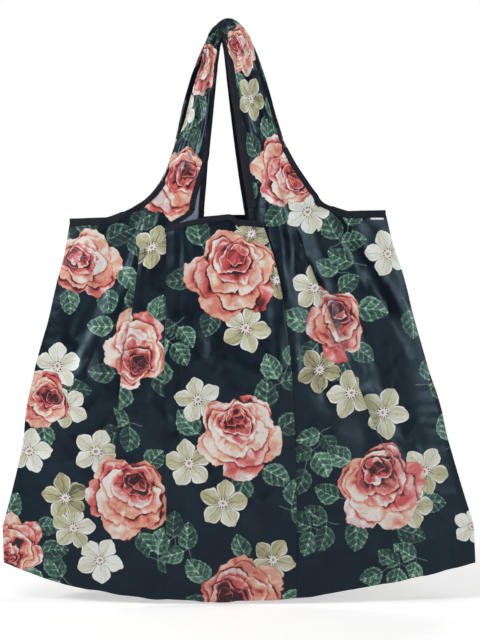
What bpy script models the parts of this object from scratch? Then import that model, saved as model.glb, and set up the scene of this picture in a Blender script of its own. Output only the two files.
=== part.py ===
"""Foldable tote bag of thin printed polyester, hanging open from its handles.

The frame: X runs across the bag, the front faces -Y and Z is up. The origin is under the lowest
point of the bottom edge, half way between the front and the back. Everything is in metres.

The bag is cut in mirror-image halves. Each half has a centre panel that laps over two side
panels in deep pleats, a wing outside each side panel that folds in over the front, and a handle
made of two straps that rise from the side panels and join at the top.
"""

import math

import bmesh
import bpy
from mathutils import Vector

MM = 0.001

# Driving dimensions of the hanging bag.
MOUTH_Z = 467 * MM
HANDLE_RISE = 237 * MM
MOUTH_HALF_WIDTH = 188 * MM
SIDE_SLOPE = 0.26
BOTTOM_HALF_WIDTH = 280 * MM
CORNER_RISE = 46 * MM
SEAM_Z = 1.0 * MM

# The pleats: half the centre panel's width, how much the mouth gathers it, and the cloth under it.
CENTRE_HALF_WIDTH = 77 * MM
MOUTH_GATHER = 25 * MM
GATHER_FADE = 45 * MM
PLEAT_UNDERLAY_TOP = 30 * MM
PLEAT_UNDERLAY_BOTTOM = 10 * MM
PLEAT_STEP = 2 * MM
PLEAT_CLOTH = 0.8 * MM
PLEAT_LOW_MARGIN = 30 * MM

# How far the front and back stand apart. The depth follows a root curve up from the bottom seam.
SIDE_SEAM_DEPTH = 2.3 * MM
CENTRE_SEAM_DEPTH = 4.4 * MM
DEPTH_SCALE = 46 * MM
DEPTH_FALL = 0.506

# Rows of faces up each body panel, closer together towards the bottom seam.
PANEL_ROWS = 16
ROW_POWER = 1.5

# The wings' fold line, and the axis they turn about, just in front of the cloth.
WING_X = 144 * MM
WING_AXIS_Y = -19 * MM
WING_GAP = 0.5 * MM

# The handles. The cloth curves up from each shoulder, and folds across at the strap's foot.
SHOULDER_RISE = 12 * MM
STRAP_FOOT = SHOULDER_RISE + 2 * MM
STRAP_TOP = 226 * MM
STRAP_INNER_X = 25 * MM
STRAP_INNER_SLOPE = 0.093
STRAP_OUTER_X = 84 * MM
SHOULDER_FLARE = 60 * MM
SHOULDER_FADE = 17 * MM
STRAP_LEAN_START = 40 * MM
HANDLE_TOP_Y = 4.5 * MM
HANDLE_AXIS = Vector((0, 30 * MM, 491 * MM))
STRAP_ROWS = 18
JOIN_SIZE = Vector((10 * MM, 5 * MM, 22 * MM))
JOIN_Z = 680 * MM

# Cloth, seams and the bias tape that binds each raw edge.
CLOTH = 1.2 * MM
TAPE = 0.8 * MM
TAPE_WIDTH = 7 * MM
TAPE_CLEARANCE = 0.45 * MM
SEAM_WIDTH = 8 * MM
SEAM_THICKNESS = 2.8 * MM

# The storage pouch inside the back, its flap and the press stud that closes it.
POUCH_WIDTH = 124 * MM
POUCH_HEIGHT = 120 * MM
POUCH_DEPTH = 6 * MM
POUCH_Y = 17 * MM
POUCH_TOP_Z = 430 * MM
POUCH_BACK_RISE = 11 * MM
POUCH_CLOTH = 0.9 * MM
HANGER_WIDTH = 18 * MM
HANGER_HEAD_Y = 23.2 * MM
FLAP_WIDTH = 118 * MM
FLAP_HINGE = Vector((0, 18.6 * MM, 442.4 * MM))
FLAP_FRONT_Y = 10.5 * MM
FLAP_TIP_Z = 404.5 * MM
STUD_Z = 414 * MM

FRONT, BACK = -1, 1
LEFT, RIGHT = -1, 1
SIDE_NAMES = {LEFT: "left", RIGHT: "right"}
FACE_NAMES = {FRONT: "front", BACK: "back"}


# ---------------------------------------------------------------- scene and material helpers


def clear_scene():
    for old in list(bpy.data.objects):
        bpy.data.objects.remove(old)


def make_collection(name):
    collection = bpy.data.collections.new(name)
    bpy.context.scene.collection.children.link(collection)
    return collection


def make_material(name, colour, roughness, metallic=0.0):
    material = bpy.data.materials.new(name)
    material.use_nodes = True
    shader = material.node_tree.nodes["Principled BSDF"]
    shader.inputs["Base Color"].default_value = (*colour, 1.0)
    shader.inputs["Roughness"].default_value = roughness
    shader.inputs["Metallic"].default_value = metallic
    return material


def make_pivot(name, location):
    """An empty on a joint's axis. The pieces that turn about the axis are its children."""
    pivot = bpy.data.objects.new(name, None)
    pivot.location = location
    bag.objects.link(pivot)
    return pivot


def add_object(name, mesh, material, pivot=None):
    """A piece whose mesh is in bag coordinates, moved under its pivot without moving in space."""
    mesh.materials.append(material)
    piece = bpy.data.objects.new(name, mesh)
    bag.objects.link(piece)
    if pivot is not None:
        piece.parent = pivot
        for vertex in mesh.vertices:
            vertex.co -= pivot.location
    return piece


def thicken(piece, thickness):
    shell = piece.modifiers.new("Thickness", "SOLIDIFY")
    shell.thickness = thickness
    shell.offset = 0.0
    shell.use_even_offset = True
    return shell


def cloth_sheet(name, place, across, along, material, pivot=None, thickness=CLOTH):
    """A grid whose points go where place(u, v) says, for u and v from 0 to 1, given a thickness."""
    shape = bmesh.new()
    bmesh.ops.create_grid(shape, x_segments=across, y_segments=along, size=0.5)
    for vertex in shape.verts:
        vertex.co = place(vertex.co.x + 0.5, vertex.co.y + 0.5)
    mesh = bpy.data.meshes.new(name)
    shape.to_mesh(mesh)
    shape.free()
    mesh.shade_smooth()
    piece = add_object(name, mesh, material, pivot)
    thicken(piece, thickness)
    return piece


def bound_edge(name, edge, inward, segments, material, pivot=None):
    """Bias tape folded over a cloth edge: a channel along edge(t), whose legs lie along inward(t)."""
    reach = CLOTH / 2 + TAPE_CLEARANCE + TAPE / 2
    turn = TAPE_CLEARANCE + TAPE / 2
    section = ((TAPE_WIDTH, -reach), (-turn, -reach), (-turn, reach), (TAPE_WIDTH, reach))
    step = 1e-3

    def place(u, v):
        point = edge(v)
        run = (edge(min(v + step, 1.0)) - edge(max(v - step, 0.0))).normalized()
        into = inward(v)
        into = (into - into.dot(run) * run).normalized()
        face = run.cross(into)
        depth, offset = section[round(u * (len(section) - 1))]
        return point + depth * into + offset * face

    return cloth_sheet(name, place, len(section) - 1, segments, material, pivot, TAPE)


# ---------------------------------------------------------------- the bag's shape


def bottom_z(x):
    """Height of the bottom seam, which rises from the middle to the corners."""
    return SEAM_Z + CORNER_RISE * (abs(x) / BOTTOM_HALF_WIDTH) ** 1.8


def side_x(z):
    """Half the bag's width at a height: straight sides that end in the bottom corners."""
    return min(MOUTH_HALF_WIDTH + SIDE_SLOPE * (MOUTH_Z - z), BOTTOM_HALF_WIDTH)


def centre_x(z):
    """Half the centre panel's width, gathered in towards the mouth."""
    return CENTRE_HALF_WIDTH - MOUTH_GATHER * math.exp(-(MOUTH_Z - z) / GATHER_FADE)


def underlay(z):
    """How far a pleat's cloth runs back under the centre panel."""
    share = z / MOUTH_Z
    return PLEAT_UNDERLAY_BOTTOM + (PLEAT_UNDERLAY_TOP - PLEAT_UNDERLAY_BOTTOM) * share


def centre_depth(x, z):
    """Distance of the centre panel from the bag's middle plane."""
    low = bottom_z(x)
    rise = min(max(z - low, 0.0) / (MOUTH_Z - low), 1.0)
    return CENTRE_SEAM_DEPTH + DEPTH_SCALE * math.sqrt(rise) * (1 - DEPTH_FALL * rise)


def side_depth(x, z):
    """Distance of the side panels and wings from the middle plane, two pleat steps further in."""
    z = min(z, MOUTH_Z)
    inner = centre_x(z)
    share = min(max((abs(x) - inner) / (side_x(z) - inner), 0.0), 1.0)
    full = max(centre_depth(x, z) - 2 * PLEAT_STEP, SIDE_SEAM_DEPTH)
    return SIDE_SEAM_DEPTH + (full - SIDE_SEAM_DEPTH) * (1 - share) ** 0.9


def shoulder_z(x):
    """Height of the side panel's top edge, which curves up from the shoulder to the strap."""
    flare = max(abs(x) - STRAP_OUTER_X, 1 * MM)
    rise = SHOULDER_FADE * math.log(SHOULDER_FLARE / flare)
    return MOUTH_Z + min(max(rise, 0.0), SHOULDER_RISE)


def panel_place(face, side, inner, outer, depth, low=bottom_z, top=lambda x: MOUTH_Z):
    """place(u, v) for a panel. inner and outer are functions of height, low and top of width."""

    def place(u, v):
        rise = v**ROW_POWER
        nominal = rise * MOUTH_Z
        x = inner(nominal) + u * (outer(nominal) - inner(nominal))
        z = low(x) + rise * (top(x) - low(x))
        return Vector((side * x, face * depth(x, z), z))

    return place


# ---------------------------------------------------------------- body pieces


def centre_panel(face):
    place = panel_place(
        face,
        RIGHT,
        inner=lambda z: -centre_x(z),
        outer=centre_x,
        depth=centre_depth,
    )
    cloth_sheet(f"{FACE_NAMES[face]}_centre_panel", place, 4, PANEL_ROWS, print_cloth)


def side_panel(face, side):
    name = f"{FACE_NAMES[face]}_{SIDE_NAMES[side]}_side_panel"
    place = panel_place(
        face,
        side,
        inner=lambda z: centre_x(z) - underlay(z),
        outer=lambda z: WING_X - WING_GAP,
        depth=side_depth,
        top=shoulder_z,
    )
    cloth_sheet(name, place, 6, PANEL_ROWS, print_cloth)


def pleat(face, side):
    """The layer of cloth that runs back under the centre panel from its fold."""
    name = f"{FACE_NAMES[face]}_{SIDE_NAMES[side]}_pleat"
    edge_clearance = 1.5 * MM
    place = panel_place(
        face,
        side,
        inner=lambda z: centre_x(z) - underlay(z) + edge_clearance,
        outer=lambda z: centre_x(z) - edge_clearance,
        depth=lambda x, z: centre_depth(x, z) - PLEAT_STEP,
        low=lambda x: bottom_z(x) + PLEAT_LOW_MARGIN,
        top=lambda x: MOUTH_Z - TAPE_WIDTH - 2 * MM,
    )
    cloth_sheet(name, place, 2, PANEL_ROWS, print_cloth, thickness=PLEAT_CLOTH)


def mouth_binding(face):
    """Tape over the centre panel's top edge."""
    half = centre_x(MOUTH_Z)

    def cloth_point(x, z):
        return Vector((x, face * centre_depth(x, z), z))

    def edge(t):
        return cloth_point((2 * t - 1) * half, MOUTH_Z)

    def inward(t):
        return cloth_point((2 * t - 1) * half, MOUTH_Z - TAPE_WIDTH) - edge(t)

    bound_edge(f"{FACE_NAMES[face]}_mouth_binding", edge, inward, 6, binding)


def wing_panel(face, side, pivot):
    name = f"{FACE_NAMES[face]}_{SIDE_NAMES[side]}_wing_panel"
    place = panel_place(
        face,
        side,
        inner=lambda z: WING_X + WING_GAP,
        outer=side_x,
        depth=side_depth,
    )
    cloth_sheet(name, place, 4, PANEL_ROWS, print_cloth, pivot)


def top_edge_binding(name, face, side, start_x, end_x, segments, pivot=None):
    """Tape over the top edge of a side panel or a wing, between two distances from the centre."""

    def cloth_point(x, drop=0.0):
        z = shoulder_z(x) - drop
        return Vector((side * x, face * side_depth(x, z), z))

    def along(t):
        return start_x + t * (end_x - start_x)

    bound_edge(
        name,
        edge=lambda t: cloth_point(along(t)),
        inward=lambda t: cloth_point(along(t), TAPE_WIDTH) - cloth_point(along(t)),
        segments=segments,
        material=binding,
        pivot=pivot,
    )


def shoulder_bindings(face, side, pivot):
    """The tape along a shoulder, cut at the wing's fold line."""
    stem = f"{FACE_NAMES[face]}_{SIDE_NAMES[side]}"
    strap_x = strap_outer(SHOULDER_RISE) + 2 * MM
    fold_in, fold_out = WING_X - WING_GAP, WING_X + WING_GAP
    top_edge_binding(f"{stem}_shoulder_binding", face, side, strap_x, fold_in, 6)
    top_edge_binding(f"{stem}_wing_binding", face, side, fold_out, MOUTH_HALF_WIDTH, 4, pivot)


def seam_strip(name, start, end, segments, path, pivot=None):
    """A flat-felled seam between the front and back cloth, along path(t) with its width inwards."""

    def place(u, v):
        point, inward = path(start + v * (end - start))
        return point + u * SEAM_WIDTH * inward

    cloth_sheet(name, place, 1, segments, binding, pivot, SEAM_THICKNESS)


def bottom_path(x):
    return Vector((x, 0, bottom_z(x))), Vector((0, 0, 1))


def side_seam(side, pivot):
    def path(z):
        return Vector((side * side_x(z), 0, z)), Vector((-side, 0, 0))

    low = bottom_z(BOTTOM_HALF_WIDTH) + SEAM_WIDTH + 2 * MM
    top = MOUTH_Z - TAPE_WIDTH - 2 * MM
    seam_strip(f"{SIDE_NAMES[side]}_side_seam", low, top, 8, path, pivot)


def bottom_seams(pivots):
    gap = WING_GAP
    seam_strip("centre_bottom_seam", -WING_X + gap, WING_X - gap, 16, bottom_path)
    for side, pivot in pivots.items():
        name = f"{SIDE_NAMES[side]}_bottom_seam"
        inner = side * (WING_X + gap)
        outer = side * (BOTTOM_HALF_WIDTH - 1 * MM)
        seam_strip(name, inner, outer, 8, bottom_path, pivot)


def care_label(pivot):
    """A small blank woven label, sewn in under the right shoulder's tape beside the side seam."""
    length, height, thickness = 16 * MM, 4 * MM, 0.6 * MM
    middle_x = MOUTH_HALF_WIDTH - length / 2 - 3 * MM
    z = MOUTH_Z - TAPE_WIDTH - height / 2 - 0.5 * MM
    depth = side_depth(middle_x, z) + CLOTH / 2 + 2.2 * MM
    shape = bmesh.new()
    bmesh.ops.create_cube(shape, size=1.0)
    bmesh.ops.scale(shape, vec=(length, thickness, height), verts=shape.verts)
    bmesh.ops.translate(shape, vec=(middle_x, -depth, z), verts=shape.verts)
    mesh = bpy.data.meshes.new("care_label")
    shape.to_mesh(mesh)
    shape.free()
    add_object("care_label", mesh, label_cloth, pivot)


# ---------------------------------------------------------------- handles


def strap_outer(h):
    """The strap's outer edge, h above the mouth: it narrows to the top and flares at the foot."""
    taper = STRAP_OUTER_X * (1 - (h / HANDLE_RISE) ** 1.6) ** 0.8
    return taper + SHOULDER_FLARE * math.exp(-h / SHOULDER_FADE)


def strap_inner(h):
    return max(STRAP_INNER_X - STRAP_INNER_SLOPE * h, JOIN_SIZE.x / 2 + 1 * MM)


def strap_y(h):
    """How far the strap stands from the middle plane as it leans in to the top."""
    foot = centre_depth(0, MOUTH_Z) - 2 * PLEAT_STEP
    return foot + (HANDLE_TOP_Y - foot) * (h / HANDLE_RISE) ** 1.2


def strap_point(face, side, x, h):
    """A point on a strap. At the foot it follows the side panel that the strap grows out of."""
    z = MOUTH_Z + h
    blend = min(max(h - SHOULDER_RISE, 0.0) / STRAP_LEAN_START, 1.0)
    y = (1 - blend) * side_depth(x, MOUTH_Z) + blend * strap_y(h)
    return Vector((side * x, face * y, z))


def strap_level(row):
    """Height above the mouth of one of the strap's rows of vertices."""
    return STRAP_FOOT + (row / STRAP_ROWS) ** 1.2 * (STRAP_TOP - STRAP_FOOT)


def strap(face, side, pivot):
    name = f"{FACE_NAMES[face]}_{SIDE_NAMES[side]}_strap"

    def place(u, v):
        h = strap_level(v * STRAP_ROWS)
        x = strap_inner(h) + u * (strap_outer(h) - strap_inner(h))
        return strap_point(face, side, x, h)

    cloth_sheet(name, place, 3, STRAP_ROWS, print_cloth, pivot)


def strap_bindings(face, side, pivot):
    """Tape over a strap's inner and outer edges, with its corners at the strap's rows."""
    stem = f"{FACE_NAMES[face]}_{SIDE_NAMES[side]}"
    for name, across, toward, first, last in (
        ("inner", strap_inner, strap_outer, 0, STRAP_ROWS - 4),
        ("outer", strap_outer, strap_inner, 1, STRAP_ROWS - 2),
    ):

        def edge(t):
            h = strap_level(first + t * (last - first))
            return strap_point(face, side, across(h), h)

        def inward(t):
            h = strap_level(first + t * (last - first))
            x = across(h)
            step = TAPE_WIDTH if toward(h) > x else -TAPE_WIDTH
            return strap_point(face, side, x + step, h) - strap_point(face, side, x, h)

        bound_edge(f"{stem}_{name}_binding", edge, inward, last - first, binding, pivot)


def handle_join(face, pivot):
    """The sewn join where a handle's two straps meet. Its flat underside rests on a hook."""
    name = f"{FACE_NAMES[face]}_handle_join"
    shape = bmesh.new()
    bmesh.ops.create_cube(shape, size=1.0)
    bmesh.ops.scale(shape, vec=JOIN_SIZE, verts=shape.verts)
    top_edges = [e for e in shape.edges if all(v.co.z > 0 for v in e.verts)]
    bmesh.ops.bevel(
        shape, geom=top_edges, offset=1.8 * MM, segments=3, profile=0.5, affect="EDGES"
    )
    centre = Vector((0, face * HANDLE_TOP_Y, JOIN_Z + JOIN_SIZE.z / 2))
    bmesh.ops.translate(shape, vec=centre, verts=shape.verts)
    mesh = bpy.data.meshes.new(name)
    shape.to_mesh(mesh)
    shape.free()
    add_object(name, mesh, binding, pivot)


# ---------------------------------------------------------------- storage pouch


def storage_pouch():
    """A flat open-topped pocket that the folded bag tucks into, with a taller wall at the back."""
    shape = bmesh.new()
    bmesh.ops.create_cube(shape, size=1.0)
    top = [f for f in shape.faces if f.normal.z > 0.5]
    bmesh.ops.delete(shape, geom=top, context="FACES")
    size = (POUCH_WIDTH, POUCH_DEPTH, POUCH_HEIGHT)
    bmesh.ops.scale(shape, vec=size, verts=shape.verts)
    centre = (0, POUCH_Y, POUCH_TOP_Z - POUCH_HEIGHT / 2)
    bmesh.ops.translate(shape, vec=centre, verts=shape.verts)
    for vertex in shape.verts:
        if vertex.co.y > POUCH_Y and vertex.co.z > POUCH_TOP_Z - 1 * MM:
            vertex.co.z += POUCH_BACK_RISE
    mesh = bpy.data.meshes.new("storage_pouch")
    shape.to_mesh(mesh)
    shape.free()
    pouch = add_object("storage_pouch", mesh, print_cloth)
    shell = thicken(pouch, POUCH_CLOTH)
    shell.solidify_mode = "NON_MANIFOLD"
    shell.nonmanifold_thickness_mode = "CONSTRAINTS"
    shell.offset = -1.0


def pouch_hanger():
    """The short tape that hangs the pouch from the back mouth binding."""
    foot_y, foot_z = POUCH_Y + POUCH_DEPTH / 2 + 0.9 * MM, POUCH_TOP_Z - 12 * MM
    head_z = MOUTH_Z - 2 * MM

    def place(u, v):
        x = (u - 0.5) * HANGER_WIDTH
        return Vector((x, foot_y + v * (HANGER_HEAD_Y - foot_y), foot_z + v * (head_z - foot_z)))

    cloth_sheet("pouch_hanger_tape", place, 1, 4, binding, thickness=POUCH_CLOTH)


def pouch_flap(pivot):
    """The flap, from the top of the pouch's back wall over its mouth and down its front."""
    profile = (
        FLAP_HINGE,
        Vector((0, FLAP_FRONT_Y + 1.5 * MM, POUCH_TOP_Z + 1.5 * MM)),
        Vector((0, FLAP_FRONT_Y, POUCH_TOP_Z - 3 * MM)),
        Vector((0, FLAP_FRONT_Y, FLAP_TIP_Z)),
    )

    def place(u, v):
        point = profile[round(v * (len(profile) - 1))].copy()
        point.x = (u - 0.5) * FLAP_WIDTH
        return point

    cloth_sheet("pouch_flap", place, 2, len(profile) - 1, print_cloth, pivot, POUCH_CLOTH)


def turned(name, profile, y, material, pivot=None):
    """A round snap part turned about an axis along Y, from (radius, distance towards +Y) points."""
    mesh = bpy.data.meshes.new(name)
    points = [(radius, 0.0, -along) for radius, along in profile]
    edges = [(i, i + 1) for i in range(len(points) - 1)]
    mesh.from_pydata(points, edges, [])
    piece = bpy.data.objects.new(name, mesh)
    mesh.materials.append(material)
    bag.objects.link(piece)
    screw = piece.modifiers.new("Turn", "SCREW")
    screw.steps = screw.render_steps = 24
    screw.use_merge_vertices = True
    screw.merge_threshold = 0.00001
    location = Vector((0, y, STUD_Z))
    if pivot is not None:
        piece.parent = pivot
        location -= pivot.location
    piece.location = location
    piece.rotation_euler = (math.radians(90), 0, 0)
    return piece


def press_stud(pivot):
    """The four parts of the press stud: cap and socket on the flap, stud and post on the pouch."""
    flap_out = FLAP_FRONT_Y - POUCH_CLOTH / 2
    flap_in = FLAP_FRONT_Y + POUCH_CLOTH / 2
    pouch_out = POUCH_Y - POUCH_DEPTH / 2
    gap = 0.3 * MM
    cap = ((0, 0), (4.5 * MM, 0), (6 * MM, 0.6 * MM), (6 * MM, 1.1 * MM), (0, 1.1 * MM))
    turned("snap_cap", cap, flap_out - gap - 1.1 * MM, snap_plastic, pivot)
    socket = (
        (0, 0),
        (5 * MM, 0),
        (5 * MM, 1.0 * MM),
        (4.4 * MM, 1.5 * MM),
        (2.4 * MM, 1.5 * MM),
        (2.4 * MM, 0.4 * MM),
        (0, 0.4 * MM),
    )
    turned("snap_socket", socket, flap_in + gap, snap_plastic, pivot)
    stud = (
        (0, 0),
        (1.7 * MM, 0),
        (2.0 * MM, 0.4 * MM),
        (1.7 * MM, 0.9 * MM),
        (1.7 * MM, 1.3 * MM),
        (4.6 * MM, 1.3 * MM),
        (5 * MM, 1.7 * MM),
        (0, 1.7 * MM),
    )
    turned("snap_stud", stud, pouch_out - gap - 1.7 * MM, snap_plastic)
    post = ((0, 0), (5 * MM, 0), (5 * MM, 0.8 * MM), (0, 0.8 * MM))
    turned("snap_post", post, pouch_out + POUCH_CLOTH + gap, snap_plastic)


# ---------------------------------------------------------------- assembly

clear_scene()
bag = make_collection("foldable_tote_bag")
print_cloth = make_material("printed_polyester", (0.018, 0.024, 0.042), 0.5)
binding = make_material("navy_bias_tape", (0.008, 0.011, 0.022), 0.55)
label_cloth = make_material("white_woven_label", (0.8, 0.8, 0.78), 0.7)
snap_plastic = make_material("navy_acetal", (0.015, 0.02, 0.035), 0.35)

handle_pivots = {
    face: make_pivot(
        f"{FACE_NAMES[face]}_handle_pivot", Vector((0, face * HANDLE_AXIS.y, HANDLE_AXIS.z))
    )
    for face in (FRONT, BACK)
}
wing_pivots = {
    side: make_pivot(f"{SIDE_NAMES[side]}_wing_pivot", Vector((side * WING_X, WING_AXIS_Y, 0)))
    for side in (LEFT, RIGHT)
}
flap_pivot = make_pivot("pouch_flap_pivot", FLAP_HINGE)

for bag_face in (FRONT, BACK):
    centre_panel(bag_face)
    mouth_binding(bag_face)
    handle_join(bag_face, handle_pivots[bag_face])
    for bag_side in (LEFT, RIGHT):
        side_panel(bag_face, bag_side)
        pleat(bag_face, bag_side)
        wing_panel(bag_face, bag_side, wing_pivots[bag_side])
        shoulder_bindings(bag_face, bag_side, wing_pivots[bag_side])
        strap(bag_face, bag_side, handle_pivots[bag_face])
        strap_bindings(bag_face, bag_side, handle_pivots[bag_face])

for bag_side in (LEFT, RIGHT):
    side_seam(bag_side, wing_pivots[bag_side])
bottom_seams(wing_pivots)
care_label(wing_pivots[RIGHT])
storage_pouch()
pouch_hanger()
pouch_flap(flap_pivot)
press_stud(flap_pivot)
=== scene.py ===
"""Looks for the foldable tote bag: printed polyester cloth, bound edges, stitching and pouch.

Lengths are in millimetres inside this script, and to_metres turns them into the scene's metres.
The bag's front faces -Y. A sheet of cloth is a grid of points: a row of points runs across the
bag and a column runs up it. Every sheet gets its folds here and its print from its material.
"""

import math

import bmesh
import bpy
import numpy as np
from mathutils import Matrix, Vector


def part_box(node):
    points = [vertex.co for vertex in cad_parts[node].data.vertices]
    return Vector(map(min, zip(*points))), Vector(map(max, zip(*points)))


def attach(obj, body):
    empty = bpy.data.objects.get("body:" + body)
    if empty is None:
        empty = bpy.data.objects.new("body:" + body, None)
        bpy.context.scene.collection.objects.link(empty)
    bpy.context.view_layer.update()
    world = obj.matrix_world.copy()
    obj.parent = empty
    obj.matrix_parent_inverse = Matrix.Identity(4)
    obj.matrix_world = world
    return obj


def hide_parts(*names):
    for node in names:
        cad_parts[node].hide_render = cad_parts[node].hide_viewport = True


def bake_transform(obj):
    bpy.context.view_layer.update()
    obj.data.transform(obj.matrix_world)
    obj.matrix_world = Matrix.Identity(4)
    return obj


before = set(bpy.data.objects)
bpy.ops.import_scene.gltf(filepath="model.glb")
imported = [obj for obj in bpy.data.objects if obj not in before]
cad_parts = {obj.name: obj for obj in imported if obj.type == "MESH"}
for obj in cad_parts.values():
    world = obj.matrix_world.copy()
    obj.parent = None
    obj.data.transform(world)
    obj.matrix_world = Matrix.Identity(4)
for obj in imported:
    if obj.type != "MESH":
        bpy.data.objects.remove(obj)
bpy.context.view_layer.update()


# ---------------------------------------------------------------- shader arithmetic


class Wire:
    """A number on a material's wires. Arithmetic on wires adds nodes to the material."""

    def __init__(self, tree, socket):
        self.tree = tree
        self.socket = socket

    def __add__(self, other):
        return calculate("ADD", self, other)

    def __sub__(self, other):
        return calculate("SUBTRACT", self, other)

    def __rsub__(self, other):
        return calculate("SUBTRACT", other, self)

    def __mul__(self, other):
        return calculate("MULTIPLY", self, other)

    def __truediv__(self, other):
        return calculate("DIVIDE", self, other)

    def __pow__(self, other):
        return calculate("POWER", self, other)

    __radd__ = __add__
    __rmul__ = __mul__


def plug(tree, value, socket):
    if isinstance(value, Wire):
        tree.links.new(value.socket, socket)
    else:
        socket.default_value = value


def plug_all(tree, node, values):
    """Plugs each value into the node's input of that name."""
    for name, value in values.items():
        plug(tree, value, node.inputs[name])


def tree_of(*values):
    return next(value.tree for value in values if isinstance(value, Wire))


def calculate(operation, *values):
    tree = tree_of(*values)
    node = tree.nodes.new("ShaderNodeMath")
    node.operation = operation
    for value, socket in zip(values, node.inputs):
        plug(tree, value, socket)
    return Wire(tree, node.outputs[0])


def step_up(value, low, high, bottom=0.0, top=1.0):
    """A smooth step from bottom to top, as value goes from low to high."""
    node = value.tree.nodes.new("ShaderNodeMapRange")
    node.interpolation_type = "SMOOTHSTEP"
    run = {"Value": value, "From Min": low, "From Max": high, "To Min": bottom, "To Max": top}
    plug_all(value.tree, node, run)
    return Wire(value.tree, node.outputs["Result"])


def step_down(value, low, high):
    return step_up(value, low, high, 1.0, 0.0)


def size_of(value):
    return calculate("ABSOLUTE", value)


def larger(first, second):
    return calculate("MAXIMUM", first, second)


def mix(data_type, first_input, output, share, first, second):
    """first where share is 0, and second where it is 1."""
    tree = tree_of(share, first, second)
    node = tree.nodes.new("ShaderNodeMix")
    node.data_type = data_type
    for value, index in ((share, 0), (first, first_input), (second, first_input + 1)):
        plug(tree, value, node.inputs[index])
    return Wire(tree, node.outputs[output])


def blend_values(share, first, second):
    return mix("FLOAT", 2, 0, share, first, second)


def blend_colours(share, first, second):
    return mix("RGBA", 6, 2, share, first, second)


def split_vector(wire):
    node = wire.tree.nodes.new("ShaderNodeSeparateXYZ")
    plug(wire.tree, wire, node.inputs[0])
    return [Wire(wire.tree, socket) for socket in node.outputs]


def join_vector(x, y, z=0.0):
    tree = tree_of(x, y, z)
    node = tree.nodes.new("ShaderNodeCombineXYZ")
    for value, socket in zip((x, y, z), node.inputs):
        plug(tree, value, socket)
    return Wire(tree, node.outputs[0])


def noise_at(where, scale, detail=2.0, roughness=0.5):
    """(value, colour) of a noise texture."""
    node = where.tree.nodes.new("ShaderNodeTexNoise")
    noise = {"Vector": where, "Scale": scale, "Detail": detail, "Roughness": roughness}
    plug_all(where.tree, node, noise)
    return [Wire(where.tree, socket) for socket in node.outputs]


def attribute_wire(tree, name):
    node = tree.nodes.new("ShaderNodeAttribute")
    node.attribute_name = name
    return Wire(tree, node.outputs["Vector"])


def linear(red, green, blue):
    """A colour given as 0 to 255 screen values, as the linear values that a shader takes."""
    shares = [channel / 255 for channel in (red, green, blue)]
    return (*[c / 12.92 if c <= 0.04045 else ((c + 0.055) / 1.055) ** 2.4 for c in shares], 1.0)


def tone_colours(tone, inks):
    """A flat ink for each tone, from (lowest tone, colour) pairs."""
    node = tone.tree.nodes.new("ShaderNodeValToRGB")
    node.color_ramp.interpolation = "CONSTANT"
    elements = node.color_ramp.elements
    while len(elements) < len(inks):
        elements.new(1.0)
    for element, (lowest, colour) in zip(elements, inks):
        element.position = lowest
        element.color = (*[INK_STRENGTH * channel for channel in linear(*colour)[:3]], 1.0)
    plug(tone.tree, tone, node.inputs[0])
    return Wire(tone.tree, node.outputs[0])


def pattern_group(name, draw):
    """A node group that takes a place inside a motif, and gives the ink and cover drawn there."""
    tree = bpy.data.node_groups.new(name, "ShaderNodeTree")
    tree.interface.new_socket("Place", in_out="INPUT", socket_type="NodeSocketVector")
    tree.interface.new_socket("Ink", in_out="OUTPUT", socket_type="NodeSocketColor")
    tree.interface.new_socket("Cover", in_out="OUTPUT", socket_type="NodeSocketFloat")
    entry = tree.nodes.new("NodeGroupInput")
    leave = tree.nodes.new("NodeGroupOutput")
    for wire, socket in zip(draw(Wire(tree, entry.outputs[0])), leave.inputs):
        tree.links.new(wire.socket, socket)
    return tree


def use_group(tree, group, where):
    node = tree.nodes.new("ShaderNodeGroup")
    node.node_tree = group
    plug(tree, where, node.inputs[0])
    return [Wire(tree, socket) for socket in node.outputs]


# ---------------------------------------------------------------- the print's motifs

# How much of each ink's lightness the dark cloth lets through, and how soft a petal's outline is.
INK_STRENGTH = 0.86
INK_EDGE = 0.015

ROSE_CORAL_INKS = (
    (0.00, (56, 30, 32)),
    (0.13, (96, 42, 44)),
    (0.24, (158, 62, 64)),
    (0.36, (200, 86, 84)),
    (0.50, (212, 108, 102)),
    (0.62, (220, 146, 136)),
    (0.73, (226, 186, 178)),
    (0.83, (220, 206, 204)),
    (0.93, (236, 230, 226)),
)
ROSE_PEACH_INKS = (
    (0.00, (74, 36, 32)),
    (0.13, (150, 62, 58)),
    (0.25, (200, 96, 86)),
    (0.38, (216, 136, 116)),
    (0.54, (222, 164, 142)),
    (0.70, (228, 186, 166)),
    (0.82, (228, 210, 198)),
    (0.94, (234, 226, 218)),
)
# Rings of petals from the outside in: size, petals, turn, tone, and the light on the petals' rims.
# The innermost ring is centred on the bud.
ROSE_RINGS = (
    (1.00, 5, 0.12, 0.70, 0.08),
    (0.84, 4, 0.71, 0.68, 0.14),
    (0.66, 4, 0.33, 0.84, 0.10),
    (0.49, 3, 0.86, 0.60, 0.22),
    (0.35, 3, 0.47, 0.46, 0.30),
    (0.22, 2, 0.05, 0.26, 0.34),
)
ROSE_BUD = (0.42, -0.16)


def polar(x, y):
    radius = (x * x + y * y) ** 0.5
    turn = calculate("ARCTAN2", y, x) / math.tau + 0.5
    return radius, turn


def scattered(number):
    """A number from 0 to 1 that looks random, from a whole number."""
    return calculate("FRACT", calculate("SINE", number * 12.99) * 437.5)


def wobbled(x, y, seed, scale, reach, **noise):
    """A place moved about by noise, so that outlines look hand-painted."""
    move_x, move_y, _ = split_vector(noise_at(join_vector(x, y, seed), scale, **noise)[1])
    return x + (move_x - 0.5) * reach, y + (move_y - 0.5) * reach


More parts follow.
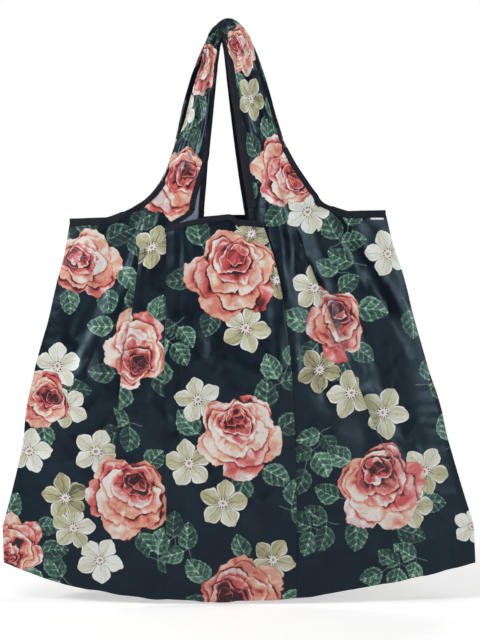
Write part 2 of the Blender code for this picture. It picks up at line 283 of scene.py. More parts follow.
def draw_rose(place):
    """Rings of overlapping petals, coral or peach, that close in on a bud to one side."""
    x, y, seed = split_vector(place)
    x, y = wobbled(x, y, seed * 17.0, 2.4, 0.46, detail=3.0)
    tone, cover, peach = 0.0, 0.0, 0.0
    for ring, (size, petals, turn, base, rim) in enumerate(ROSE_RINGS):
        inward = ring / (len(ROSE_RINGS) - 1)
        radius, angle = polar(x - ROSE_BUD[0] * inward, y - ROSE_BUD[1] * inward)
        spin = angle * petals + seed * 5.0 + turn
        across = calculate("FRACT", spin)
        whole_turns = calculate("FLOOR", calculate("MODULO", spin + 20.0, float(petals)))
        petal = whole_turns + seed * 9.0 + ring
        from_middle = size_of(across * 2.0 - 1.0)
        out = radius / (size * (1.0 - 0.21 * from_middle**2.2))
        inside = 1.0 - step_up(out, 1.0 - INK_EDGE, 1.0 + INK_EDGE)
        strokes = noise_at(join_vector(spin * 1.5, radius * 1.2, petal), 2.1)[0] - 0.5
        light = rim * step_up(out, 0.84, 0.94) + 0.42 * (scattered(petal) - 0.5)
        overlap = 0.40 * step_down(across, 0.0, 0.10) * step_up(out, 0.95, 0.6)
        petal_tone = base + light - overlap + strokes * 1.7
        shaded = tone - step_up(out, 1.0, 1.0 + 0.10 / size, 0.42, 0.0)
        tone = blend_values(inside, shaded, petal_tone)
        warm = step_up(scattered(petal + 3.3), 0.36, 0.46) if inward < 0.5 else 0.0
        peach = blend_values(inside, peach, warm)
        cover = larger(cover, inside)
    ink = blend_colours(peach, tone_colours(tone, ROSE_CORAL_INKS), tone_colours(tone, ROSE_PEACH_INKS))
    return ink, cover


BLOSSOM_INKS = (
    (0.00, (104, 98, 78)),
    (0.18, (158, 152, 116)),
    (0.34, (180, 176, 138)),
    (0.48, (196, 193, 162)),
    (0.60, (210, 209, 190)),
    (0.72, (222, 222, 210)),
    (0.86, (236, 236, 230)),
)
BLOSSOM_HEART_INKS = (
    (0.00, (58, 48, 46)),
    (0.30, (150, 138, 126)),
    (0.55, (232, 222, 218)),
)
BLOSSOM_PETALS = 5.0
STAMENS = 11.0


def draw_blossom(place):
    """Five rounded petals with a vein down each, and a pale heart ringed with stamens."""
    x, y, tint = split_vector(place)
    x, y = wobbled(x, y, tint * 23.0, 2.2, 0.22)
    radius, turn = polar(x, y)
    swing = (calculate("FRACT", turn * BLOSSOM_PETALS) - 0.5) * (math.tau / BLOSSOM_PETALS)
    petal = calculate("FLOOR", turn * BLOSSOM_PETALS) + tint * 11.0
    along = radius * calculate("COSINE", swing)
    side = radius * calculate("SINE", swing)
    tip = larger(along - 0.60, 0.0) / 0.40
    width = 0.372 * larger(1.0 - tip**2.0, 0.0) * step_up(along, 0.08, 0.60, 0.30, 1.0)
    reach = size_of(side) / larger(width, 0.01)
    petals = step_down(reach, 0.94, 1.02) * step_down(along, 0.975, 0.99)
    vein = step_up(size_of(side), 0.006, 0.02, 0.30, 0.0) * step_up(along, 0.6, 0.9, 1.0, 0.3)
    shade = 0.34 * step_up(side, -0.28, 0.22) + 0.62 * (scattered(petal) - 0.4)
    rim = 0.34 * step_up(reach, 0.74, 0.86)
    root = step_up(along, 0.2, 0.45, 0.14, 0.0)
    strokes = noise_at(join_vector(along, side * 4.0, petal), 3.0)[0] - 0.5
    tone = 1.0 - tint * 0.56 + rim - shade * 0.5 - vein - root + strokes * 0.5
    stamen_turn = calculate("FRACT", turn * STAMENS) - 0.5
    stamens = step_down(size_of(stamen_turn), 0.16, 0.3) * step_down(size_of(radius - 0.19), 0.02, 0.045)
    heart = larger(step_down(radius, 0.21, 0.24), stamens)
    heart_tone = 0.8 - larger(stamens * 0.72, step_down(radius, 0.04, 0.08) * 0.45)
    petal_ink, heart_ink = tone_colours(tone, BLOSSOM_INKS), tone_colours(heart_tone, BLOSSOM_HEART_INKS)
    return blend_colours(heart, petal_ink, heart_ink), larger(petals, heart)


STALK_INK = linear(92, 108, 104)
LEAF_INKS = (
    (0.00, (38, 44, 46)),
    (0.14, (48, 68, 62)),
    (0.30, (66, 96, 82)),
    (0.46, (90, 126, 108)),
    (0.62, (118, 156, 134)),
    (0.78, (150, 184, 162)),
    (0.93, (184, 208, 188)),
)


def draw_leaf(place):
    """A pointed leaf with a toothed edge, a midrib and side veins, on a thin stalk."""
    x, y, seed = split_vector(place)
    y = y + (noise_at(join_vector(x, y, seed * 29.0), 1.6)[0] - 0.5) * 0.30 + 0.10 * x * x
    half = size_of(y)
    belly = larger(1.0 - x * x, 0.0) ** 0.72
    teeth = calculate("PINGPONG", x * 3.5 + half, 0.5) * 0.12
    width = belly * (0.80 - 0.20 * x) - teeth * belly
    reach = half / larger(width, 0.01)
    blade = step_down(reach, 0.93, 1.02) * step_down(size_of(x), 0.97, 0.99)
    stalk = step_down(half, 0.02, 0.05) * step_down(size_of(x + 1.4), 0.5, 0.55)
    midrib = step_up(half, 0.02, 0.07, 0.34, 0.0)
    ribs = calculate("PINGPONG", (x - half * 0.75) * 2.1, 0.5)
    veins = step_up(ribs, 0.04, 0.20, 0.34, 0.0) * step_up(reach, 0.5, 0.95, 1.0, 0.3)
    rim = step_up(reach, 0.76, 0.90) * 0.26
    sides = step_up(y, -0.05, 0.05) * 0.14
    grain = noise_at(join_vector(x, y * 1.5, seed * 7.0), 3.4, detail=4.0, roughness=0.6)[0] - 0.5
    own_tone = 0.36 * (scattered(seed * 3.0) - 0.5)
    tone = 0.17 + midrib + veins + rim + sides + grain * 1.6 + own_tone
    ink = blend_colours(step_down(x, -1.02, -0.94), tone_colours(tone, LEAF_INKS), STALK_INK)
    return ink, larger(blade, stalk * 0.8)


LEAF = pattern_group("leaf", draw_leaf)
# The print's layers from the lowest up. Leaves have two, so that one can lie over another.
LAYERS = {
    "leaf_under": LEAF,
    "leaf_over": LEAF,
    "blossom": pattern_group("blossom", draw_blossom),
    "rose": pattern_group("rose", draw_rose),
}
NAVY = linear(4, 10, 20)
NAVY_LIGHT = linear(11, 20, 32)


def printed_colour(tree):
    """The whole print, over the navy ground."""
    cloth_place = attribute_wire(tree, "cloth_place")
    mottle = noise_at(cloth_place, 26.0, detail=4.0)[0]
    colour = blend_colours(step_up(mottle, 0.35, 0.75), NAVY, NAVY_LIGHT)
    for layer, group in LAYERS.items():
        ink, cover = use_group(tree, group, attribute_wire(tree, layer))
        colour = blend_colours(cover, colour, ink)
    return colour


# ---------------------------------------------------------------- materials


# Heights and pitches in materials are in metres.
WEAVE_PITCH = 0.0007
WEAVE_HEIGHT = 0.00001
RIB_HEIGHT = 0.00005
PRINT_SHOWS_THROUGH = 0.24
REVERSE_COLOUR = linear(166, 174, 194)
SHEEN_TINT = (0.58, 0.84, 1.0, 1.0)


def new_material(name):
    """(material, its node tree, its Principled shader)"""
    material = bpy.data.materials.new(name)
    material.use_nodes = True
    tree = material.node_tree
    return material, tree, tree.nodes["Principled BSDF"]


def set_bump(tree, shader, heights):
    """Bumps from (height in metres, strength) pairs, one on top of another."""
    normal = None
    for height, strength in heights:
        node = tree.nodes.new("ShaderNodeBump")
        plug_all(tree, node, {"Height": height, "Strength": strength, "Distance": 1.0})
        if normal is not None:
            tree.links.new(normal, node.inputs["Normal"])
        normal = node.outputs[0]
    tree.links.new(normal, shader.inputs["Normal"])


def weave_height(where):
    """Plain weave: threads pass over and under each other."""
    x, y, _ = split_vector(where)
    thread = math.tau / WEAVE_PITCH
    return calculate("SINE", x * thread) * calculate("SINE", y * thread) * WEAVE_HEIGHT


def woven_cloth(name, reverse):
    """Printed polyester. Its reverse shows the print faintly through pale grey-blue cloth."""
    material, tree, shader = new_material(name)
    place = attribute_wire(tree, "cloth_place")
    colour = printed_colour(tree)
    if reverse:
        colour = blend_colours(PRINT_SHOWS_THROUGH, REVERSE_COLOUR, colour)
    wear = step_up(noise_at(place, 90.0, detail=4.0)[0], 0.3, 0.7, 0.30, 0.40)
    finish = {"Roughness": wear, "Specular IOR Level": 0.46, "Specular Tint": SHEEN_TINT}
    plug_all(tree, shader, {"Base Color": colour, **finish})
    rumple = noise_at(place, 60.0)[0] * 0.0009
    set_bump(tree, shader, ((rumple, 0.4), (weave_height(place), 0.5)))
    return material


TAPE_FINISH = {"Roughness": 0.68, "Specular IOR Level": 0.25, "Sheen Weight": 0.06, "Sheen Roughness": 0.4}


def tape_cloth(name, colour, lit_colour, rib_pitch):
    """Folded bias tape, ribbed across by its diagonal weave."""
    material, tree, shader = new_material(name)
    place = attribute_wire(tree, "cloth_place")
    x, y, _ = split_vector(place)
    mottle = noise_at(place, 160.0, detail=3.0)[0]
    tone = blend_colours(step_up(mottle, 0.3, 0.75), linear(*colour), linear(*lit_colour))
    plug_all(tree, shader, {"Base Color": tone, **TAPE_FINISH})
    ribs = calculate("SINE", (x + y) * (math.tau / rib_pitch)) * RIB_HEIGHT
    rumple = noise_at(place, 220.0)[0] * 0.0004
    set_bump(tree, shader, ((rumple, 0.6), (ribs, 0.7)))
    return material


def moulded_plastic(name):
    material, tree, shader = new_material(name)
    node = tree.nodes.new("ShaderNodeTexCoord")
    place = Wire(tree, node.outputs["Object"])
    mottle = noise_at(place, 700.0, detail=3.0)[0]
    tone = blend_colours(step_up(mottle, 0.3, 0.7), linear(26, 32, 46), linear(36, 44, 60))
    plug_all(tree, shader, {"Base Color": tone, "Roughness": step_up(mottle, 0.3, 0.7, 0.28, 0.40)})
    set_bump(tree, shader, ((mottle * 0.00008, 0.4),))
    return material


PRINT = woven_cloth("printed_polyester_outside", reverse=False)
REVERSE = woven_cloth("printed_polyester_reverse", reverse=True)
TAPE = tape_cloth("navy_bias_tape_woven", (12, 16, 26), (19, 24, 36), 0.0009)
THREAD = tape_cloth("navy_thread", (22, 28, 42), (32, 39, 54), 0.0005)
LABEL = tape_cloth("white_woven_label_cloth", (226, 226, 222), (240, 240, 236), 0.0006)
PLASTIC = moulded_plastic("navy_acetal_moulded")


# ---------------------------------------------------------------- numbers, points and noise


def smooth(share):
    """A soft step from 0 to 1, as the share goes from 0 to 1."""
    share = np.clip(share, 0.0, 1.0)
    return share * share * (3 - 2 * share)


def hump(place, middle, width):
    """1 at the middle, and almost nothing at two widths from it."""
    return np.exp(-(((place - middle) / width) ** 2))


def lattice(across, up, seed):
    """A number from -1 to 1 that looks random, for each whole-number place."""
    mixed = np.sin(across * 12.9898 + up * 78.233 + seed * 37.719) * 4375.8545
    return 2 * (mixed - np.floor(mixed)) - 1


def waves(across, up, seed):
    """Smooth noise from -1 to 1 whose bumps are about 1 apart."""
    left, low = np.floor(across), np.floor(up)
    right_share = across - left
    high_share = up - low
    right_share = right_share**3 * (right_share * (right_share * 6 - 15) + 10)
    high_share = high_share**3 * (high_share * (high_share * 6 - 15) + 10)
    bottom = lattice(left, low, seed) * (1 - right_share) + lattice(left + 1, low, seed) * right_share
    top = lattice(left, low + 1, seed) * (1 - right_share) + lattice(left + 1, low + 1, seed) * right_share
    return bottom * (1 - high_share) + top * high_share


def ridges(across, up, seed):
    """Noise with sharp crests, like creased cloth."""
    return 1 - 2 * np.abs(waves(across, up, seed)) ** 0.8


def turned_by(across, up, degrees):
    angle = math.radians(degrees)
    return (
        across * math.cos(angle) + up * math.sin(angle),
        up * math.cos(angle) - across * math.sin(angle),
    )


def unit(vectors):
    """The vectors at a length of 1."""
    return vectors / np.maximum(np.linalg.norm(vectors, axis=-1, keepdims=True), 1e-9)


def together(*columns):
    """Numbers side by side in a new last axis, each spread over the others' rows and columns."""
    return np.stack(np.broadcast_arrays(*columns), axis=-1)


# ---------------------------------------------------------------- the bag's shape

MM = 0.001


def low_corner(node):
    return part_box(node)[0] / MM


def high_corner(node):
    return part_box(node)[1] / MM


FRONT, BACK = -1, 1
LEFT, RIGHT = -1, 1
SIDE_NAMES = {LEFT: "left", RIGHT: "right"}
FACE_NAMES = {FRONT: "front", BACK: "back"}

MOUTH_Z = round(high_corner("front_centre_panel").z)
BOTTOM_HALF = round(high_corner("front_right_wing_panel").x)
MOUTH_HALF = round(high_corner("front_right_wing_binding").x)
CROWN_Z = round(high_corner("front_handle_join").z)
CROWN_Y = (low_corner("back_handle_join").y + high_corner("back_handle_join").y) / 2
WING_X = round(low_corner("right_bottom_seam").x)
# Each side runs out by this much per mm down, as far as the bottom corner.
SIDE_SLOPE = 0.228
CORNER_X = BOTTOM_HALF + 4
# The bottom edge's lowest height, how far it rises to a corner, and how late it does on each side.
BOTTOM_Z = 1.5
CORNER_RISE = 46
LEFT_SWEEP = 2.7
RIGHT_SWEEP = 1.65
# A strap is sewn to the side cloth along a level line: how high over the mouth, and how far out.
SPLIT_RISE = 6
SPLIT_X = 126
# The arch that the straps' outer edges make: half its width at the mouth, and its height over it.
ARCH_HALF = 84
HANDLE_RISE = CROWN_Z - 1 - MOUTH_Z
# The hang: how far the bottom stands to the right and how much further left the crown is, how
# steeply the shoulders tilt, and how far the left side bulges.
LEAN_LOW = 12
LEAN_RANGE = 24
SHOULDER_TILT = 0.027
LEFT_BULGE = 6
CLOTH = 0.4
SEAM_DEPTH = 0.8


def to_metres(points):
    """Points in mm as metres in the scene. The bag leans to its left and its left shoulder hangs low."""
    leaned = np.array(points, float).reshape(-1, 3)
    x, z = leaned[:, 0].copy(), leaned[:, 2].copy()
    tilt = SHOULDER_TILT * smooth(z / MOUTH_Z) * smooth((CROWN_Z - z) / (CROWN_Z - MOUTH_Z))
    leaned[:, 2] += x * tilt
    bulge = LEFT_BULGE * smooth(-x / 200) * hump(z, 285, 60)
    leaned[:, 0] += LEAN_LOW - LEAN_RANGE * z / CROWN_Z - bulge
    return leaned * MM


def bottom_z(x):
    """Height of the bottom edge, which rises to the corners and ripples a little."""
    ripple = 1.3 * waves(x / 21.0, 0.0, 3.0) * smooth((BOTTOM_HALF - np.abs(x)) / 40)
    sweep = np.where(x < 0, LEFT_SWEEP, RIGHT_SWEEP)
    return BOTTOM_Z + CORNER_RISE * (np.abs(x) / BOTTOM_HALF) ** sweep + ripple


def side_x(z):
    """Half the bag's width at a height."""
    wander = 1.6 * waves(z / 55.0, 0.0, 8.0) * smooth(z / 60) * smooth((MOUTH_Z - z) / 60)
    return np.minimum(MOUTH_HALF + SIDE_SLOPE * (MOUTH_Z - z), CORNER_X) + wander


def shoulder_z(x):
    """Height of the cloth's top edge outside the strap's foot."""
    rise = 17 * np.log(60 / np.maximum(np.abs(x) - ARCH_HALF, 1))
    return MOUTH_Z + np.clip(rise, 0, SPLIT_RISE)


def panel_swell(x, z):
    """Distance of the centre panel from the bag's middle plane."""
    low = bottom_z(x)
    rise = np.clip((z - low) / (MOUTH_Z - low), 0, 1)
    seam_pinch = 0.35 + 0.65 * smooth((z - low) / 55)
    return (4.4 + 46 * np.sqrt(rise) * (1 - 0.506 * rise)) * seam_pinch


def side_swell(x, z):
    """Distance of the side cloth from the middle plane. It falls to the side seam."""
    z = np.minimum(z, MOUTH_Z)
    inner = 77 - 25 * np.exp(-(MOUTH_Z - z) / 45)
    share = np.clip((np.abs(x) - inner) / (side_x(z) - inner), 0, 1)
    under_pleat = 1.2 + 2.8 * smooth((z - bottom_z(x)) / 60)
    full = np.maximum(panel_swell(x, z) - under_pleat, SEAM_DEPTH + 0.1)
    return SEAM_DEPTH + (full - SEAM_DEPTH) * (1 - share) ** 0.9


# Where the gathers spread from, on each side.
FAN_X, FAN_Z = 62, 585


def gathers(x, z, seed):
    """Folds that fan out from over each strap's foot, widening as they go down."""
    out, down = np.abs(x) - FAN_X, FAN_Z - z
    reach = np.hypot(out, down)
    angle = np.arctan2(out, down)
    side_seed = seed + np.where(x < 0, 0.0, 5.0)
    fan = waves(angle * 6.6, reach / 240, side_seed) + 0.45 * waves(angle * 14, reach / 150, side_seed + 2)
    strength = 3.6 + 3.6 * smooth((reach - 90) / 160) - 4.6 * smooth((reach - 260) / 260)
    return fan * strength * smooth((np.abs(x) - 18) / 50)


def hanging_folds(x, z, seed):
    """Long soft folds that hang from the mouth, and drag lines from the shoulders."""
    long_folds = 5.6 * waves(x / 47.0, z / 330.0, seed + 11) * (0.45 + 0.55 * smooth((MOUTH_Z - z) / 200))
    drag = 0.0
    for degrees, apart, long, own_seed in ((32, 34.0, 190.0, 13), (-38, 39.0, 210.0, 14)):
        across, along = turned_by(x, z, degrees)
        drag = drag + 2.6 * waves(across / apart, along / long, seed + own_seed)
    return long_folds + drag


UPRIGHT_CREASES = (-187, -94, 94, 187)
LEVEL_CREASES = (118, 236, 352)
CREASE_WIDTH = 2.6
# Crumples as (size, height, degrees).
CRUMPLES = ((47, 1.3, 12), (26, 0.75, 57), (13, 0.3, -31))


def creases(x, z, seed):
    """Sharp lines left from when the bag was folded away, and small crumples."""
    shape = 0.0
    for place in UPRIGHT_CREASES:
        present = 0.6 + 0.4 * waves(z / 90.0, place, seed)
        shape = shape + 0.75 * present * hump(x, place, CREASE_WIDTH)
    for place in LEVEL_CREASES:
        present = 0.5 + 0.5 * waves(x / 90.0, place, seed)
        shape = shape - 0.65 * present * hump(z, place, CREASE_WIDTH)
    for size, height, degrees in CRUMPLES:
        across, along = turned_by(x, z, degrees)
        shape = shape + height * ridges(across / size, along / size, seed + size)
    return shape


DEEPEST_FOLD = 6


def folds(x, z, seed):
    """How far hanging cloth stands out of its plain shape. It lies flat at the seams."""
    from_side = smooth((side_x(np.minimum(z, MOUTH_Z)) - np.abs(x)) / 46)
    from_bottom = smooth((z - bottom_z(x)) / 70)
    room = 0.15 + 0.85 * np.minimum(from_side, from_bottom)
    shape = gathers(x, z, seed) + hanging_folds(x, z, seed) + creases(x, z, seed)
    shape = np.where(shape < 0, -DEEPEST_FOLD * np.tanh(-shape / DEEPEST_FOLD), shape)
    pucker_side = 0.35 * waves(z / 6.5, 0.0, seed + 3) * (1 - from_side)
    pucker_low = 0.4 * waves(x / 6.5, 0.0, seed + 4) * (1 - from_bottom)
    return shape * room + pucker_side + pucker_low


def clear_of_seam(depth):
    """Keeps cloth on its own side of the bag's middle, where the seams lie."""
    beyond = depth - SEAM_DEPTH
    return SEAM_DEPTH + (beyond + np.sqrt(beyond**2 + 0.25)) / 2


# ---------------------------------------------------------------- pieces from grids


class Sheet:
    """Cloth as a grid: points[row, column], and where each point lies on the flat print."""

    def __init__(self, points, flat, face):
        self.points = points
        self.flat = flat
        normals = np.cross(np.gradient(points, axis=1), np.gradient(points, axis=0))
        self.flipped = np.mean(normals[..., 1]) * face < 0
        if self.flipped:
            normals = -normals
        self.normals = unit(normals)

    def lines_from(self, edge):
        """(points, normals) as lines that start on an edge and run into the sheet."""
        both = []
        for grid in (self.points, self.normals):
            if edge == "top":
                both.append(grid[::-1].transpose(1, 0, 2))
            elif edge == "first column":
                both.append(grid)
            else:
                both.append(grid[:, ::-1])
        return both


def add_object(name, data):
    thing = bpy.data.objects.new(name, data)
    bpy.context.scene.collection.objects.link(thing)
    return thing


def mesh_piece(name, points, faces, materials, places, face_materials):
    """A piece with its points in mm. places are texture coordinates in mm."""
    mesh = bpy.data.meshes.new(name)
    mesh.from_pydata(to_metres(points).tolist(), [], faces)
    for material in materials:
        mesh.materials.append(material)
    attribute = mesh.attributes.new("cloth_place", "FLOAT_VECTOR", "POINT")
    attribute.data.foreach_set("vector", (np.asarray(places, float) * MM).ravel())
    mesh.polygons.foreach_set("material_index", face_materials)
    mesh.shade_smooth()
    return add_object(name, mesh)


def grid_faces(rows, columns, flipped):
    corner = np.arange(rows * columns).reshape(rows, columns)
    faces = together(corner[:-1, :-1], corner[:-1, 1:], corner[1:, 1:], corner[1:, :-1])
    faces = faces.reshape(-1, 4)
    return faces[:, ::-1] if flipped else faces


# For each kind of motif: the middle of its own area, and how far it reaches along and across.
MOTIF_REACH = {"rose": (0.0, 1.28, 1.28), "blossom": (0.0, 1.2, 1.2), "leaf": (-0.45, 1.65, 1.05)}
NOWHERE = (9.0, 9.0, 0.0)


def into_motif(offset, motif):
    """An offset from a motif's middle, turned with the motif and in units of its size."""
    turn = np.radians(motif[..., 3])
    x = (offset[..., 0] * np.cos(turn) + offset[..., 1] * np.sin(turn)) / motif[..., 2]
    y = (offset[..., 1] * np.cos(turn) - offset[..., 0] * np.sin(turn)) / motif[..., 2]
    return x, y


def print_on(mesh, faces, flat, motifs):
    """Gives each face the nearest motif of each layer, as each corner's place inside that motif.

    A motif is (x, z, size, degrees, seed), on the flat cloth.
    """
    corners = flat.reshape(-1, 2)[faces]
    middles = corners.mean(axis=1)
    for layer in LAYERS:
        shift, along, across = MOTIF_REACH[layer.split("_")[0]]
        table = np.array(motifs[layer], float)
        x, y = into_motif(middles[:, None] - table[None, :, :2], table[None])
        distance = np.hypot((x - shift) / along, y / across)
        near = distance.min(axis=1) < 1
        chosen = table[distance.argmin(axis=1)][:, None]
        x, y = into_motif(corners - chosen[..., :2], chosen)
        places = np.where(near[:, None, None], together(x, y, chosen[..., 4]), NOWHERE)
        attribute = mesh.attributes.new(layer, "FLOAT_VECTOR", "CORNER")
        attribute.data.foreach_set("vector", places.ravel())


def shell_faces(rows, columns, flipped):
    """(outside, inside, rim) faces of a grid with a second grid of points behind it."""
    outside = grid_faces(rows, columns, flipped)
    count = rows * columns
    corner = np.arange(count).reshape(rows, columns)
    loop = np.concatenate((corner[0, :-1], corner[:-1, -1], corner[-1, :0:-1], corner[:0:-1, 0]))
    after = np.roll(loop, -1)
    rim = together(after, loop, loop + count, after + count)
    return outside, outside[:, (0, 3, 2, 1)] + count, rim[:, ::-1] if flipped else rim


def printed_piece(name, sheet, motifs):
    """A sheet of printed cloth with its outside and its paler reverse."""
    rows, columns = sheet.points.shape[:2]
    outside, inside, rim = shell_faces(rows, columns, sheet.flipped)
    faces = np.concatenate((outside, inside, rim))
    points = np.concatenate((sheet.points, sheet.points - CLOTH * sheet.normals)).reshape(-1, 3)
    flat = np.tile(sheet.flat.reshape(-1, 2), (2, 1))
    places = np.column_stack((flat, np.zeros(len(flat))))
    sides = np.repeat((0, 1), (len(outside), len(inside) + len(rim)))
    piece = mesh_piece(name, points, faces.tolist(), (PRINT, REVERSE), places, sides)
    print_on(piece.data, faces, flat, motifs)
    piece.data.set_sharp_from_angle(angle=math.radians(65))
    return piece


# ---------------------------------------------------------------- tape, seams and stitches

TAPE_WIDTH = 6.4
WIDE_TAPE = 9.0
SHOULDER_TAPE = 8.6
# The shoulder tape tapers off over this run, below the end of the strap's outer tape.
MITRE = 15.0
# The tape's outline as (distance in from the cloth's edge, height over the cloth's outside).
TAPE_OUTLINE = (
    (1.00, 0.10),
    (1.00, 0.55),
    (0.93, 0.72),
    (0.60, 0.66),
    (0.25, 0.74),
    (0.00, 0.62),
    (-0.08, 0.30),
    (-0.10, -0.20),
    (-0.08, -0.70),
    (0.00, -1.02),
    (0.25, -1.14),
    (0.60, -1.06),
    (0.93, -1.12),
    (1.00, -0.95),
    (1.00, -0.50),
)
STITCH_LENGTH = 2.1
STITCH_PITCH = 3.0
# A stitch's rings as (place along it as a share of its length, radius, lift).
STITCH_SECTION = (
    (-0.5, 0.06, -0.16),
    (-0.34, 0.22, 0.0),
    (0.0, 0.25, 0.04),
    (0.34, 0.22, 0.0),
    (0.5, 0.06, -0.16),
)
STITCH_SIDES = 6
# A row of stitches runs on each face of a tape: its height, and its place as a share of the width.
STITCH_HEIGHTS = (0.76, -1.16)
STITCH_PLACE = 0.8
# However aslant a line leaves the edge, a tape reaches no further along it than width / this.
LEAST_SLANT = 0.36


def lengths_along(line):
    """Each point's distance from the line's start."""
    return np.concatenate(((0.0,), np.cumsum(np.linalg.norm(np.diff(line, axis=0), axis=1))))


def read_along(where, lengths, values):
    """The values, of which there is a row for each point of a line, at distances along the line."""
    return together(*[np.interp(where, lengths, column) for column in values.T])


def tube_faces(rings, around, first=0):
    """Faces of a closed tube of rings, with its two ends capped."""
    ring = np.arange(rings * around).reshape(rings, around) + first
    after = np.roll(ring, -1, axis=1)
    walls = together(ring[:-1], after[:-1], after[1:], ring[1:]).reshape(-1, 4)
    return walls.tolist() + [ring[0][::-1].tolist(), ring[-1].tolist()]


def slant_widths(lines, width):
    """How far a tape this wide reaches along each line: further, where a line leaves the edge aslant."""
    edge = np.gradient(lines[:, 0], axis=0)
    inward = lines[:, 1] - lines[:, 0]
    lengths = np.linalg.norm(edge, axis=1) * np.linalg.norm(inward, axis=1)
    cosine = np.sum(edge * inward, axis=1) / np.maximum(lengths, 1e-9)
    return width / np.sqrt(np.maximum(1 - cosine**2, LEAST_SLANT**2))


def walk_in(lines, normals, shares, widths):
    """The point and normal at each share of its width along each line, past its start if negative."""
    points = np.empty((len(lines), len(shares), 3))
    turned = np.empty_like(points)
    for i, width in enumerate(widths):
        lengths = lengths_along(lines[i])
        points[i] = read_along(shares * width, lengths, lines[i])
        turned[i] = read_along(shares * width, lengths, normals[i])
    outward = unit(lines[:, 0] - lines[:, 1])
    beyond = np.maximum(-shares, 0) * TAPE_WIDTH
    return points + outward[:, None] * beyond[None, :, None], turned


def stitch_row(line, normals, first):
    """Stitches along a line, each a small thread that dips into the cloth at its ends."""
    lengths = lengths_along(line)
    points, faces = [], []
    for centre in np.arange(STITCH_PITCH, lengths[-1] - STITCH_PITCH, STITCH_PITCH):
        at = read_along(centre, lengths, line)
        run = unit(read_along(centre + 1, lengths, line) - at)
        up = read_along(centre, lengths, normals)
        up = unit(up - run * np.dot(up, run))
        side = np.cross(run, up)
        faces += tube_faces(len(STITCH_SECTION), STITCH_SIDES, first + len(points))
        for along, radius, lift in STITCH_SECTION:
            for angle in np.arange(STITCH_SIDES) * (math.tau / STITCH_SIDES):
                ring = side * math.cos(angle) + up * math.sin(angle)
                points.append(at + run * along * STITCH_LENGTH + up * lift + ring * radius)
    return points, faces


def recalculate_normals(mesh):
    shape = bmesh.new()
    shape.from_mesh(mesh)
    bmesh.ops.recalc_face_normals(shape, faces=shape.faces)
    shape.to_mesh(mesh)
    shape.free()


def sewn_tube(name, rings, places, material, stitch_rows=()):
    """A closed tube through rings[ring, corner], and rows of stitches given as (line, normals)."""
    faces = tube_faces(*rings.shape[:2])
    tube_count = len(faces)
    points, places = rings.reshape(-1, 3), places.reshape(-1, 3)
    for line, normals in stitch_rows:
        more, more_faces = stitch_row(line, normals, len(points))
        if more:
            points = np.concatenate((points, more))
            places = np.concatenate((places, more))
            faces += more_faces
    materials = (material, THREAD) if stitch_rows else (material,)
    stitched = [0] * tube_count + [1] * (len(faces) - tube_count)
    piece = mesh_piece(name, points, faces, materials, places, stitched)
    recalculate_normals(piece.data)
    return piece


def bound_edge(name, lines, normals, width=TAPE_WIDTH, seed=0.0):
    """Bias tape folded over the edge where the lines start, with a row of stitches on each face."""
    widths = slant_widths(lines, width)
    shares, heights = np.array(TAPE_OUTLINE).T
    points, turned = walk_in(lines, normals, shares, widths)
    edge = lengths_along(lines[:, 0])[:, None]
    ruffle = 0.16 * waves(edge / 5.0, np.arange(len(heights))[None] / 4.0, seed + 21)
    points = points + turned * (heights + ruffle * np.sign(heights))[..., None]
    places = together(edge, shares * TAPE_WIDTH, 0.0)
    seam, seam_normals = walk_in(lines, normals, np.array([STITCH_PLACE]), widths)
    seam, seam_normals = seam[:, 0], seam_normals[:, 0]
    rows = [(seam + seam_normals * height, seam_normals * np.sign(height)) for height in STITCH_HEIGHTS]
    return sewn_tube(name, points, places, TAPE, rows)


# ---------------------------------------------------------------- where the motifs go

# Roses and blossoms as (x, z, radius) on the flat cloth, by area.
ROSES = {
    "centre": ((3, 395, 54), (5, 203, 52), (5, 11, 52)),
    "left": ((-168, 413, 41), (-100, 311, 50), (-229, 251, 37), (-132, 131, 52), (-270, 71, 38)),
    "right": ((113, 335, 46), (171, 140, 55)),
    "left_strap": ((-58, 503, 46), (-30, 640, 34)),
    "right_strap": ((70, 516, 44), (26, 662, 32)),
}
BLOSSOMS = {
    "centre": (
        (-42, 248, 28), (-56, 172, 30), (-17, 124, 30), (17, 331, 30), (27, 443, 26), (40, 54, 28),
        (56, 388, 24),
    ),
    "left": (
        (-204, 290, 29), (-197, 240, 27), (-248, 186, 29), (-166, 186, 29), (-206, 130, 30),
        (-198, 92, 28), (-168, 53, 30), (-86, 430, 27),
    ),
    "right": (
        (78, 377, 28), (84, 281, 28), (125, 252, 30), (178, 228, 31), (226, 158, 30), (207, 118, 29),
        (190, 416, 29), (94, 467, 27), (281, 92, 24),
    ),
    "left_strap": ((-60, 590, 24),),
    "right_strap": ((34, 604, 28), (96, 468, 27)),
}
# Sprigs of leaves away from the flowers: where the stem starts, its direction and its leaf pairs.
SPRIGS = {
    "centre": ((-62, 338, 250, 2), (52, 268, 60, 1), (62, 118, 20, 2), (-62, 66, 140, 2)),
    "left": (
        (-112, 218, 200, 1), (-238, 330, 110, 1), (-94, 404, 140, 2), (-100, 58, 20, 2),
        (-214, 28, 170, 1),
    ),
    "right": (
        (150, 402, 205, 2), (214, 352, 330, 2), (96, 206, 250, 2), (232, 262, 30, 2), (108, 98, 200, 2),
        (214, 52, 200, 2), (130, 430, 60, 1), (262, 190, 60, 1),
    ),
    "left_strap": ((-62, 560, 80, 2), (-20, 676, 70, 1)),
    "right_strap": ((72, 560, 110, 2),),
}
LEAF_HALF_LENGTH = 16.5
LEAF_PAIR_SPACING = 21
LEAF_ROOM = 17
LEAVES_ROUND_ROSE = 7


